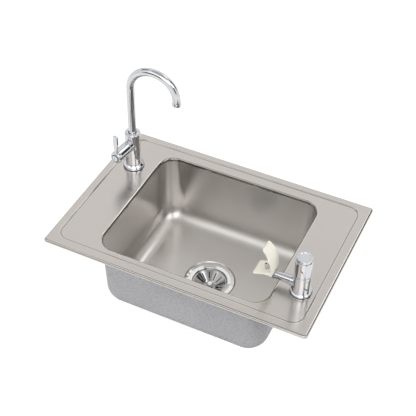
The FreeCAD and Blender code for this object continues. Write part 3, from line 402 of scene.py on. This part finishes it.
def makeUndercoat(look):
    material, tree, surface = startFinish("undercoat", **{"Specular IOR Level": look["specular"]})
    pebble = useGroup(tree, "pebble", Size=look["size"])
    patch = mottle(tree, pebble["Patch"], look["colour"], look["shades"])
    sprayed = layOver(tree, pebble["Speck"], look["speckled"], patch, look["speck"])
    tree.links.new(sprayed, surface["Base Color"])
    tree.links.new(spread(tree, pebble["Speck"], look["rough"]), surface["Roughness"])
    bumpInto(tree, surface, pebble["Height"], *look["bump"])
    return material


drainSteel = {
    "colour": (0.78, 0.775, 0.76), "shades": (0.94, 1.05), "rough": (0.02, 0.05), "smear": 0.02,
    "marks": 40.0, "density": 1500.0, "reach": 0.004, "dustAndPaintedShade": 0.6, "soilAndPaintedShade": (0.10, 0.095, 0.085),
    "bump": (0.02, 0.0001),
}
# the basket: the drain steel made darker, with heavy crevice darkening, as painted shade inside the cup
basketSteelPaintedDark = {
    **drainSteel, "colour": (0.44, 0.44, 0.435), "rough": (0.03, 0.07), "smear": 0.04, "density": 1100.0,
    "reach": 0.016, "dustAndPaintedShade": 0.9,
}


def makeDrainSteel(name, look):
    material, tree, surface = startFinish(name, Metallic=1.0)
    rings = useGroup(tree, "ringLines", Centre=drainAxis, Density=look["density"])["Lines"]
    marks = useGroup(tree, "handMarks", Size=look["marks"])["Marks"]
    dustAndPaintedShade = useGroup(tree, "crevice", Reach=look["reach"])["Mask"]
    turned = mottle(tree, rings, look["colour"], look["shades"])
    # darker in crevices: painted shade, with dust
    tree.links.new(layOver(tree, dustAndPaintedShade, look["dustAndPaintedShade"], turned, look["soilAndPaintedShade"]), surface["Base Color"])
    smear = calc(tree, "MULTIPLY", marks, look["smear"])
    tree.links.new(calc(tree, "ADD", spread(tree, rings, look["rough"]), smear), surface["Roughness"])
    bumpInto(tree, surface, rings, *look["bump"])
    return material


tapChrome = {
    "colour": (0.62, 0.63, 0.655), "shades": (1.0, 0.97), "rough": (0.02, 0.06), "marks": 38.0,
    "edge": 0.0005, "reach": 0.003, "dustAndPaintedShade": 0.9, "soilAndPaintedShade": (0.05, 0.05, 0.047), "bump": (0.015, 0.0004),
}
aeratorChrome = {**tapChrome, "dustAndPaintedShade": 0.2}
capChrome = {
    **tapChrome,
    # a painted dark ring on the cap: painted shade and dark reflection at its rim
    "ring": {
        "centre": capCentre, "along": (capCentre - tapAxis).to_2d().normalized().to_3d(),
        "from": 7.2 * mm, "to": 10.4 * mm, "soft": 0.4 * mm, "unevenSize": 300.0, "unevenStrength": (0.75, 0.95),
    },
}


def paintedShadeRing(tree, ring):
    # a painted dark ring round a turned axis, painted shade and dark reflection at the cap's rim, uneven in
    # strength
    away = vectorCalc(tree, "SUBTRACT", onObject(tree), ring["centre"])
    radius = vectorCalc(tree, "LENGTH", vectorCalc(tree, "CROSS_PRODUCT", away, ring["along"]))
    started = remap(tree, radius, ring["from"], ring["from"] + ring["soft"])
    unended = remap(tree, radius, ring["to"], ring["to"] - ring["soft"])
    unevenStrength = remap(tree, noise(tree, onObject(tree), ring["unevenSize"]), 0.3, 0.7, *ring["unevenStrength"])
    return calc(tree, "MULTIPLY", calc(tree, "MULTIPLY", started, unended), unevenStrength)


def makeTapChrome(name, look):
    material, tree, surface = startFinish(name, Metallic=1.0)
    marks = useGroup(tree, "handMarks", Size=look["marks"])["Marks"]
    dustAndPaintedShade = useGroup(tree, "crevice", Reach=look["reach"])["Mask"]
    rub = useGroup(tree, "edgeRub", Radius=look["edge"])
    plate = mottle(tree, marks, look["colour"], look["shades"])
    # near black in crevices and joints: painted shade, with dust
    plate = layOver(tree, dustAndPaintedShade, look["dustAndPaintedShade"], plate, look["soilAndPaintedShade"])
    if "ring" in look:
        # painted dark ring: painted shade and dark reflection
        plate = mixColour(tree, paintedShadeRing(tree, look["ring"]), plate, shade(look["soilAndPaintedShade"]))
    tree.links.new(plate, surface["Base Color"])
    tree.links.new(spread(tree, marks, look["rough"]), surface["Roughness"])
    bumpInto(tree, surface, marks, *look["bump"], rub["Normal"])
    return material


yellowBrass = {
    "colour": (0.70, 0.55, 0.28), "tarnish": (0.36, 0.25, 0.11), "rubbed": 1.25, "rough": (0.22, 0.46),
    "marks": 60.0, "marked": 0.35, "reach": 0.005, "dusted": 0.6, "edge": 0.0006, "bump": (0.05, 0.0003),
}


def makeYellowBrass(look):
    material, tree, surface = startFinish("yellowBrass", Metallic=1.0)
    marks = useGroup(tree, "handMarks", Size=look["marks"])["Marks"]
    dustAndPaintedShade = useGroup(tree, "crevice", Reach=look["reach"])["Mask"]
    rub = useGroup(tree, "edgeRub", Radius=look["edge"])
    dull = weigh(tree, marks, look["marked"], dustAndPaintedShade, look["dusted"], clamp=True)
    metal = mixColour(tree, dull, shade(look["colour"]), shade(look["tarnish"]))
    metal = mixColour(tree, rub["Mask"], metal, shade(look["colour"], look["rubbed"]))
    tree.links.new(metal, surface["Base Color"])
    tree.links.new(spread(tree, dull, look["rough"]), surface["Roughness"])
    bumpInto(tree, surface, marks, *look["bump"], rub["Normal"])
    return material


springWire = {
    "colour": (0.55, 0.54, 0.52), "shades": (0.86, 1.08), "rough": (0.22, 0.38),
    "grain": (300.0, 300.0, 1400.0), "marks": 80.0, "bump": (0.06, 0.0001),
}


def makeSpringWire(look):
    material, tree, surface = startFinish("springWire", Metallic=1.0)
    drawn = useGroup(tree, "brushLines", Stretch=look["grain"])
    marks = useGroup(tree, "handMarks", Size=look["marks"])["Marks"]
    tree.links.new(mottle(tree, drawn["Streak"], look["colour"], look["shades"]), surface["Base Color"])
    tree.links.new(spread(tree, marks, look["rough"]), surface["Roughness"])
    bumpInto(tree, surface, drawn["Lines"], *look["bump"])
    return material


# moulded and pressed non-metals share one recipe: pebble bump, rubbed edges, dust in the corners
mouldingWear = {"shades": (0.96, 1.03), "edge": 0.0008, "rubbed": 0.6, "reach": 0.008, "dusted": 0.4}
mouldings = {
    "blackRubber": {
        "colour": (0.040, 0.040, 0.042), "rub": (0.09, 0.09, 0.09), "dustAndPaintedShade": (0.16, 0.155, 0.15),
        "rough": (0.52, 0.70), "size": 900.0, "bump": (0.18, 0.0003), "specular": 0.35,
    },
    "whitePlastic": {
        "colour": (0.82, 0.82, 0.80), "rub": (0.88, 0.88, 0.86), "dustAndPaintedShade": (0.55, 0.52, 0.46),
        "rough": (0.34, 0.46), "size": 520.0, "bump": (0.05, 0.0003), "specular": 0.5,
    },
    "lappedCeramic": {
        "colour": (0.85, 0.84, 0.80), "rub": (0.90, 0.89, 0.86), "dustAndPaintedShade": (0.60, 0.57, 0.50),
        "rough": (0.10, 0.18), "size": 1400.0, "bump": (0.02, 0.0003), "specular": 0.6,
    },
    "guardRubber": {
        "colour": (0.88, 0.84, 0.73), "rub": (0.80, 0.70, 0.53), "dustAndPaintedShade": (0.56, 0.46, 0.32),
        "rough": (0.40, 0.52), "size": 800.0, "bump": (0.06, 0.0003), "specular": 0.42,
    },
}


def makeMoulding(name, wear):
    look = mouldings[name]
    material, tree, surface = startFinish(name, **{"Specular IOR Level": look["specular"]})
    pebble = useGroup(tree, "pebble", Size=look["size"])
    rub = useGroup(tree, "edgeRub", Radius=wear["edge"])
    dustAndPaintedShade = useGroup(tree, "crevice", Reach=wear["reach"])["Mask"]
    body = mottle(tree, pebble["Patch"], look["colour"], wear["shades"])
    body = layOver(tree, rub["Mask"], wear["rubbed"], body, look["rub"])
    body = layOver(tree, dustAndPaintedShade, wear["dusted"], body, look["dustAndPaintedShade"])
    tree.links.new(body, surface["Base Color"])
    tree.links.new(spread(tree, pebble["Speck"], look["rough"]), surface["Roughness"])
    bumpInto(tree, surface, pebble["Height"], *look["bump"], rub["Normal"])
    return material


finishOfSlot = {
    "satin_steel": makeSinkSteel(sinkSteel),
    "sound_coat": makeUndercoat(undercoat),
    "polished_steel": makeDrainSteel("drainSteel", drainSteel),
    "spring_steel": makeSpringWire(springWire),
    "chrome": makeTapChrome("tapChrome", tapChrome),
    "brass": makeYellowBrass(yellowBrass),
    "black_rubber": makeMoulding("blackRubber", mouldingWear),
    "white_plastic": makeMoulding("whitePlastic", mouldingWear),
    "ceramic": makeMoulding("lappedCeramic", mouldingWear),
    "ivory_guard": makeMoulding("guardRubber", mouldingWear),
}
# nodes whose names start so have a finish of their own
finishOfKind = {
    ("clip_rail", "satin_steel"): makeRailSteel(railSteel),
    ("strainer", "polished_steel"): makeDrainSteel("basketSteelPaintedDark", basketSteelPaintedDark),
    ("aerator", "chrome"): makeTapChrome("aeratorChrome", aeratorChrome),
    ("handle_cap", "chrome"): makeTapChrome("capChrome", capChrome),
}
for part in frame["record"]["subparts"]:
    finish = finishOfSlot[part["material_slot"]]
    for (start, slot), special in finishOfKind.items():
        if part["node"].startswith(start) and part["material_slot"] == slot:
            finish = special
    nodes[part["node"]].data.materials.clear()
    nodes[part["node"]].data.materials.append(finish)


# pieces that take the place of plain solids

def shadeFaces(mesh, smooth):
    for polygon in mesh.polygons:
        polygon.use_smooth = smooth


def addPiece(name, mesh, finish, body, slot, *stoodFor):
    piece = bpy.data.objects.new(name, mesh)
    scene.collection.objects.link(piece)
    mesh.materials.append(finish)
    shadeFaces(mesh, smooth=True)
    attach(piece, body)
    if stoodFor:
        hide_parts(*stoodFor)
    return piece


def tubeFaces(rows, around, closed=False):
    # four-sided faces between each row of points and the next, and from the last to the first if closed
    return [
        (r * around + i, r * around + (i + 1) % around,
         (r + 1) % rows * around + (i + 1) % around, (r + 1) % rows * around + i)
        for r in range(rows if closed else rows - 1) for i in range(around)
    ]


def boreThrough(piece, centre, along, radius, length, sides=48):
    # leaves the piece with its modifiers applied and a round hole through it
    shape = bmesh.new()
    turned = Vector(along).to_track_quat("Z", "Y").to_matrix().to_4x4()
    bmesh.ops.create_cone(
        shape, cap_ends=True, segments=sides, radius1=radius, radius2=radius, depth=length,
        matrix=Matrix.Translation(centre) @ turned,
    )
    toolMesh = bpy.data.meshes.new("bore")
    shape.to_mesh(toolMesh)
    shape.free()
    tool = bpy.data.objects.new("bore", toolMesh)
    scene.collection.objects.link(tool)
    cut = piece.modifiers.new("bore", "BOOLEAN")
    cut.operation = "DIFFERENCE"
    cut.object = tool
    mesh = bpy.data.meshes.new_from_object(piece.evaluated_get(bpy.context.evaluated_depsgraph_get()))
    piece.modifiers.clear()
    piece.data = mesh
    bpy.data.objects.remove(tool)
    shadeFaces(mesh, smooth=True)


guardShape = {
    "thickness": 3.0 * mm, "slope": 21.0, "flap": 44.0 * mm, "back": 61.5 * mm, "root": 9.0 * mm,
    "headGap": 0.1 * mm, "hood": 60.0 * mm, "lean": 24.0 * mm, "bow": 7.5 * mm,
    "tipHalf": 21.2 * mm, "foldHalf": 20.4 * mm, "waistHalf": 20.8 * mm, "topHalf": 16.4 * mm,
    "waist": 0.4, "taper": 1.4, "tipCorner": 2.5 * mm, "topCorner": 4.0 * mm,
    "foldRound": 4.0 * mm, "rootRound": 3.0 * mm, "edge": 1.2 * mm, "edgeMost": 0.48, "edgeSteps": 4,
    "cup": 2.4 * mm, "cupRun": 0.8, "dish": 0.7 * mm, "across": 12,
    "rows": {"flap": 14, "root": 6, "fold": 5, "hood": 30, "foldOnHood": 2},
    "softEnd": 0.3, "softFrom": 55.0, "softSteps": 3,
    "nozzle": 5.0 * mm, "holeGap": 0.15 * mm, "holeLength": 45.0 * mm,
}


def arcThrough(start, middle, end, count):
    a, b = middle - start, end - start
    turn = 2 * (a.x * b.y - a.y * b.x)
    centre = start + Vector((b.y * a.length_squared - a.y * b.length_squared,
                             a.x * b.length_squared - b.x * a.length_squared)) / turn
    radius = (start - centre).length
    first = math.atan2(start.y - centre.y, start.x - centre.x)
    last = math.atan2(end.y - centre.y, end.x - centre.x)
    sweep = (last - first + math.pi) % (2 * math.pi) - math.pi
    steps = [first + sweep * i / count for i in range(count + 1)]
    return [centre + Vector((math.cos(s), math.sin(s))) * radius for s in steps]


def line(start, end, count):
    return [start.lerp(end, i / count) for i in range(count + 1)]


def bend(start, corner, end, count):
    steps = [i / count for i in range(count + 1)]
    return [start * (1 - s) ** 2 + corner * 2 * s * (1 - s) + end * s * s for s in steps]


def guardSides(shape):
    # the drinker's side and the back of the strip, matched point by point in the X-Z plane
    rows, thick, rounded = shape["rows"], shape["thickness"], shape["rootRound"]
    slope = math.radians(shape["slope"])
    down = Vector((-math.cos(slope), -math.sin(slope)))
    under = Vector((math.sin(slope), -math.cos(slope))) * thick
    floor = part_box("bubbler_head")[1].z + shape["headGap"]
    back = bubblerAxis.x - shape["back"]
    fold = Vector((back - thick, floor + shape["root"]))
    top = fold.y + shape["hood"]
    middle = Vector((back - shape["lean"] / 2 + shape["bow"], (fold.y + top) / 2))
    outerTop = Vector((back - shape["lean"], top))
    innerTop = outerTop - Vector((thick, thick / 2))
    tip = fold + down * shape["flap"]
    rootRun = (fold.y + under.y - floor) / math.sin(slope)
    rootFront = fold + down * rootRun
    innerArc = arcThrough(fold, middle - Vector((thick, 0)), innerTop, rows["hood"])
    outerArc = arcThrough(Vector((back, fold.y)), middle, outerTop, rows["hood"])
    foldStart = fold + down * shape["foldRound"]
    heelFront, heel, heelTop = (
        Vector(place) for place in ((back - rounded, floor), (back, floor), (back, floor + rounded))
    )
    onHood = rows["foldOnHood"]
    front = line(tip, rootFront, rows["flap"])[:-1] + line(rootFront, foldStart, rows["root"])[:-1]
    front += bend(foldStart, fold, innerArc[onHood], 2 * rows["fold"])[:-1] + innerArc[onHood:]
    behind = line(tip + under, rootFront + under, rows["flap"])[:-1]
    behind += line(rootFront + under, heelFront, rows["root"])[:-1]
    behind += bend(heelFront, heel, heelTop, rows["fold"])[:-1]
    behind += line(heelTop, outerArc[onHood], rows["fold"])[:-1] + outerArc[onHood:]
    return front, behind, rows["flap"] + rows["root"] + rows["fold"]


def guardHalf(shape, share, onHood):
    if not onHood:
        return shape["foldHalf"] + (shape["tipHalf"] - shape["foldHalf"]) * share
    if share < shape["waist"]:
        return shape["foldHalf"] + (shape["waistHalf"] - shape["foldHalf"]) * share / shape["waist"]
    above = (share - shape["waist"]) / (1 - shape["waist"])
    return shape["waistHalf"] + (shape["topHalf"] - shape["waistHalf"]) * above ** shape["taper"]


def roundedEnd(corner, away):
    return corner - math.sqrt(corner ** 2 - (corner - away) ** 2) if away < corner else 0.0


def guardLoop(shape, front, behind, half, curl):
    # one closed section: straight sides, rounded edges, both faces curled towards the drinker at their ends
    across = behind - front
    thick = across.length
    across = across.normalized()
    edge = min(shape["edge"], thick * shape["edgeMost"], half * shape["edgeMost"])
    corners = [(1, 0), (1, 1), (-1, 1), (-1, 0)]
    points = [(half - edge) * (2 * i / shape["across"] - 1) for i in range(1, shape["across"])]
    flat = {0: [(y, 0.0) for y in points], 2: [(-y, thick) for y in points]}
    ring = []
    for number, (side, far) in enumerate(corners):
        ring += flat.get(number, [])
        middle = (side * (half - edge), thick - edge if far else edge)
        for step in range(shape["edgeSteps"] + 1):
            angle = math.radians(90 * number - 90 + 90 / shape["edgeSteps"] * step)
            ring.append((middle[0] + edge * math.cos(angle), middle[1] + edge * math.sin(angle)))
    loop = []
    for y, depth in ring:
        place = front + across * (depth - curl * (y / half) ** 2)
        loop.append(Vector((place.x, bubblerAxis.y + y, place.y)))
    return loop


def guardCurl(shape, share, onHood):
    if not onHood:
        return shape["dish"] * share
    return shape["cup"] * math.sin(math.pi * min(1.0, share * shape["cupRun"]))


def makeGuard(shape):
    front, behind, foldAt = guardSides(shape)
    loops = []
    last = len(front) - 1
    for i, (near, far) in enumerate(zip(front, behind)):
        onHood = i > foldAt
        share = (i - foldAt) / (last - foldAt) if onHood else (foldAt - i) / foldAt
        toTip, toTop = (near - front[0]).length, (near - front[last]).length
        half = guardHalf(shape, share, onHood)
        half -= roundedEnd(shape["tipCorner"], toTip) + roundedEnd(shape["topCorner"], toTop)
        loops.append(guardLoop(shape, near, far, half, guardCurl(shape, share, onHood)))
    count = len(loops[0])
    ends = [tuple(range(count))[::-1], tuple(range(last * count, (last + 1) * count))]
    mesh = bpy.data.meshes.new("guardStrip")
    points = [point for loop in loops for point in loop]
    mesh.from_pydata(points, [], tubeFaces(len(loops), count) + ends)
    piece = addPiece("guardStrip", mesh, finishOfSlot["ivory_guard"], "sink", "ivory_guard", "mouth_guard")
    rounding = piece.modifiers.new("soft ends", "BEVEL")
    rounding.width = shape["thickness"] * shape["softEnd"]
    rounding.segments = shape["softSteps"]
    rounding.angle_limit = math.radians(shape["softFrom"])
    nozzleLow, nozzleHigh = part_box("bubbler_nozzle")
    slope = math.radians(shape["slope"])
    boreThrough(
        piece, (nozzleLow + nozzleHigh) / 2, (-math.sin(slope), 0, math.cos(slope)),
        shape["nozzle"] + shape["holeGap"], shape["holeLength"],
    )
    print("mouth guard:", len(piece.data.vertices), "points")


makeGuard(guardShape)

# tails in millimetres, from the low end to the high one, with a relief groove above the thread
rolledThread = {
    "relief": (-11.0, -9.0), "grooveDeeper": 0.05, "grooveWall": 0.05, "chamfer": 1.3,
    "flank": 1.5, "crest": 0.25, "rowsPerTurn": 8, "around": 48,
}
tapTail = {
    **rolledThread, "outer": 10.3, "bore": 6.0, "low": -47.8, "high": 19.7, "pitch": 1.81, "depth": 0.75,
}
bubblerTail = {
    **rolledThread, "outer": 8.5, "bore": 4.0, "low": -43.8, "high": 17.7, "pitch": 1.34, "depth": 0.6,
}


def threadRadius(tail, height, turn):
    # a chamfered, threaded length below the relief groove and a plain one above it
    grooveLow, grooveHigh = tail["relief"]
    outer = tail["outer"]
    if height > grooveHigh:
        return outer
    if height > grooveLow:
        return outer - tail["depth"] - tail["grooveDeeper"]
    wave = abs((height / tail["pitch"] - turn) % 1.0 * 2 - 1)
    ridge = outer - tail["depth"] * min(1.0, max(0.0, wave * tail["flank"] - tail["crest"]))
    return min(ridge, outer - tail["chamfer"] + (height - tail["low"]))


def makeTail(name, tail, axis, node):
    around, low, high, wall = (tail[key] for key in ("around", "low", "high", "grooveWall"))
    grooveLow, grooveHigh = tail["relief"]
    rows = int((grooveLow - low) / tail["pitch"] * tail["rowsPerTurn"])
    heights = [low + (grooveLow - low) * i / rows for i in range(rows + 1)]
    heights += [grooveLow + wall, grooveHigh - wall, grooveHigh + wall, high]
    bore = [tail["bore"]] * around
    rings = [(bore, low)]
    rings += [([threadRadius(tail, h, i / around) for i in range(around)], h) for h in heights]
    rings += [(bore, high)]
    points = [
        (axis.x + radii[i] * mm * math.cos(2 * math.pi * i / around),
         axis.y + radii[i] * mm * math.sin(2 * math.pi * i / around), height * mm)
        for radii, height in rings for i in range(around)
    ]
    mesh = bpy.data.meshes.new(name)
    mesh.from_pydata(points, [], tubeFaces(len(rings), around, closed=True))
    piece = addPiece(name, mesh, finishOfSlot["brass"], "sink", "brass", node)
    shadeFaces(piece.data, smooth=False)
    print(name + ":", len(points), "points")


makeTail("tapTailThread", tapTail, tapAxis, "tap_shank")
makeTail("bubblerTailThread", bubblerTail, bubblerAxis, "bubbler_shank")

springCoil = {
    "wire": 1.5 * mm, "turns": 6, "closedTurns": 0.75, "closedPitch": 1.6 * mm, "steps": 28, "around": 10,
}


def coilRise(coil, height, turn):
    # close-wound ends and open turns between them
    closed = coil["closedTurns"]
    openPitch = (height - 2 * closed * coil["closedPitch"]) / (coil["turns"] - 2 * closed)
    ends = min(turn, closed) + max(0.0, turn - coil["turns"] + closed)
    return ends * coil["closedPitch"] + (turn - ends) * openPitch


def makeCoil(coil):
    low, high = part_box("return_spring")
    half = coil["wire"] / 2
    radius = (high.x - low.x) / 2 - half
    centre = (low + high) / 2
    count, ring = coil["turns"] * coil["steps"], coil["around"]
    points = []
    for i in range(count + 1):
        turn = i / coil["steps"]
        out = Vector((math.cos(2 * math.pi * turn), math.sin(2 * math.pi * turn), 0.0))
        middle = Vector((centre.x, centre.y, low.z + half)) + out * radius
        middle.z += coilRise(coil, high.z - low.z - coil["wire"], turn)
        for k in range(ring):
            angle = 2 * math.pi * k / ring
            rise = Vector((0.0, 0.0, half * math.sin(angle)))
            points.append(middle + out * half * math.cos(angle) + rise)
    faces = [
        (r * ring + k, (r + 1) * ring + k, (r + 1) * ring + (k + 1) % ring, r * ring + (k + 1) % ring)
        for r in range(count) for k in range(ring)
    ]
    faces += [tuple(range(ring)), tuple(range(count * ring, (count + 1) * ring))[::-1]]
    mesh = bpy.data.meshes.new("plungerSpring")
    mesh.from_pydata(points, [], faces)
    finish = finishOfSlot["spring_steel"]
    piece = addPiece("plungerSpring", mesh, finish, "sink", "spring_steel", "return_spring")
    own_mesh(piece)


makeCoil(springCoil)


# stage, light and camera

white = (1.0, 1.0, 1.0, 1.0)
studio = {
    "floorHalf": 12.0, "floorEmission": 0.84, "floorDiffuse": 0.30,
    "worldFill": 0.45, "fillColour": (0.97, 0.98, 1.0, 1.0),
    "lamps": {
        "topBox": {"place": (-0.15, 0.25, 2.3), "size": (2.2, 1.7), "power": 10.0},
        "leftBox": {"place": (-2.0, -0.3, 1.4), "size": (1.3, 1.5), "power": 2.0},
        "frontFill": {"place": (-1.5, -2.1, 0.40), "size": (1.6, 1.2), "power": 31.0},
        "rightFill": {"place": (1.9, -0.9, 1.3), "size": (1.2, 1.2), "power": 28.0},
        "backFill": {"place": (0.5, 2.4, 0.5), "size": (1.8, 1.2), "power": 20.0},
    },
}

# dark cloths and soft boxes on a dome, which only reflections show
# turn is from the front towards +X and rise is from level, in degrees
flagDome = {"radius": 3.0, "steps": 24}
flags = {
    "ceiling": {"turn": (-180, 180), "rise": (62, 90), "tone": 0.55},
    "frontCloth": {"turn": (-42, -6), "rise": (-2, 25), "tone": 0.10},
    "frontRightCloth": {"turn": (52, 76), "rise": (2, 26), "tone": 0.02},
    "frontLeftBox": {"turn": (-50, 2), "rise": (29, 57), "tone": 1.6},
    "frontRightBox": {"turn": (2, 47), "rise": (29, 57), "tone": 2.9},
    "gapCloth": {"turn": (48, 62), "rise": (27, 58), "tone": 0.10},
    "rightBox": {"turn": (64, 98), "rise": (27, 58), "tone": 2.5},
    "rightCloth": {"turn": (122, 152), "rise": (6, 39), "tone": 0.05},
    "sideCloth": {"turn": (106, 134), "rise": (40, 58), "tone": 0.15},
    "backRightBox": {"turn": (147, 172), "rise": (41, 56), "tone": 2.6},
    "backCloth": {"turn": (160, 240), "rise": (-2, 14), "tone": 0.60},
    "leftCloth": {"turn": (-114, -86), "rise": (32, 58), "tone": 0.10},
}


def seenDirectly(tree):
    path = addNode(tree, "ShaderNodeLightPath").outputs
    seen = calc(tree, "MAXIMUM", path["Is Camera Ray"], path["Is Glossy Ray"])
    return calc(tree, "MAXIMUM", seen, path["Is Transmission Ray"])


def makeWorld(light):
    world = bpy.data.worlds.new("studio")
    scene.world = world
    tree = emptyTree(world)
    fill, plain = (
        addNode(tree, "ShaderNodeBackground", {"Color": colour, "Strength": strength}).outputs[0]
        for colour, strength in ((light["fillColour"], light["worldFill"]), (white, 1.0))
    )
    both = addNode(tree, "ShaderNodeMixShader", {0: seenDirectly(tree), 1: fill, 2: plain})
    addNode(tree, "ShaderNodeOutputWorld", {"Surface": both.outputs[0]})


def makeFloor(light):
    size = light["floorHalf"]
    mesh = bpy.data.meshes.new("floor")
    corners = [(x * size, y * size, cadBox[0].z) for x, y in ((-1, -1), (1, -1), (1, 1), (-1, 1))]
    mesh.from_pydata(corners, [], [(0, 1, 2, 3)])
    floor = bpy.data.objects.new("floor", mesh)
    scene.collection.objects.link(floor)
    material = bpy.data.materials.new("paleFloor")
    tree = emptyTree(material)
    glow = calc(tree, "MULTIPLY", seenDirectly(tree), light["floorEmission"])
    shine = addNode(tree, "ShaderNodeEmission", {"Color": white, "Strength": glow})
    plain = addNode(tree, "ShaderNodeBsdfDiffuse", {"Color": shade(white, light["floorDiffuse"])})
    both = addNode(tree, "ShaderNodeAddShader", {0: shine.outputs[0], 1: plain.outputs[0]})
    addNode(tree, "ShaderNodeOutputMaterial", {"Surface": both.outputs[0]})
    mesh.materials.append(material)


def makeLamp(name, lamp):
    data = bpy.data.lights.new(name, "AREA")
    data.shape = "RECTANGLE"
    data.size, data.size_y = lamp["size"]
    data.energy = lamp["power"]
    holder = bpy.data.objects.new(name, data)
    holder.location = lamp["place"]
    holder.rotation_euler = (-Vector(lamp["place"])).to_track_quat("-Z", "Y").to_euler()
    holder.visible_glossy = False
    holder.visible_camera = False
    scene.collection.objects.link(holder)


def evenAngles(ends, steps):
    return [math.radians(ends[0] + (ends[1] - ends[0]) * i / steps) for i in range(steps + 1)]


def makeFlag(name, flag, dome):
    mesh = bpy.data.meshes.new(name)
    count, reach = dome["steps"], dome["radius"]
    corners = [
        (reach * math.sin(turn) * math.cos(rise), -reach * math.cos(turn) * math.cos(rise),
         reach * math.sin(rise))
        for rise in evenAngles(flag["rise"], count) for turn in evenAngles(flag["turn"], count)
    ]
    row = count + 1
    mesh.from_pydata(corners, [], [
        (i * row + j, i * row + j + 1, i * row + row + j + 1, i * row + row + j)
        for i in range(count) for j in range(count)
    ])
    cloth = bpy.data.objects.new(name, mesh)
    scene.collection.objects.link(cloth)
    material = bpy.data.materials.new(name)
    tree = emptyTree(material)
    tone = addNode(tree, "ShaderNodeEmission", {"Color": white, "Strength": flag["tone"]})
    addNode(tree, "ShaderNodeOutputMaterial", {"Surface": tone.outputs[0]})
    mesh.materials.append(material)
    cloth.visible_camera = False
    cloth.visible_diffuse = False
    cloth.visible_shadow = False
    cloth.visible_transmission = False


cameraView = {
    "turn": 24.639, "tilt": 43.536, "roll": 1.418, "distance": 2.228881, "aside": -0.008759,
    "above": 0.035144, "sensor": 36.0, "lens": 84.23,
}


def makeCamera(view):
    turn, tilt, roll = (math.radians(view[name]) for name in ("turn", "tilt", "roll"))
    back = Vector((math.sin(turn) * math.cos(tilt), -math.cos(turn) * math.cos(tilt), math.sin(tilt)))
    level = Vector((math.cos(turn), math.sin(turn), 0.0))
    steep = back.cross(level)
    right = level * math.cos(roll) + steep * math.sin(roll)
    top = steep * math.cos(roll) - level * math.sin(roll)
    place = back * view["distance"] + right * view["aside"] + top * view["above"]
    place.z += shellTop
    data = bpy.data.cameras.new("photoCamera")
    data.sensor_width = view["sensor"]
    data.lens = view["lens"]
    camera = bpy.data.objects.new("photoCamera", data)
    scene.collection.objects.link(camera)
    camera.matrix_world = Matrix.Translation(place) @ Matrix((right, top, back)).transposed().to_4x4()
    scene.camera = camera


scene.view_settings.view_transform = "Standard"
makeWorld(studio)
makeFloor(studio)
for lampName, lampSet in studio["lamps"].items():
    makeLamp(lampName, lampSet)
for flagName, flagSet in flags.items():
    makeFlag(flagName, flagSet, flagDome)
makeCamera(cameraView)
print("stage: floor,", len(flags), "flags,", len(studio["lamps"]), "lamps and the camera")
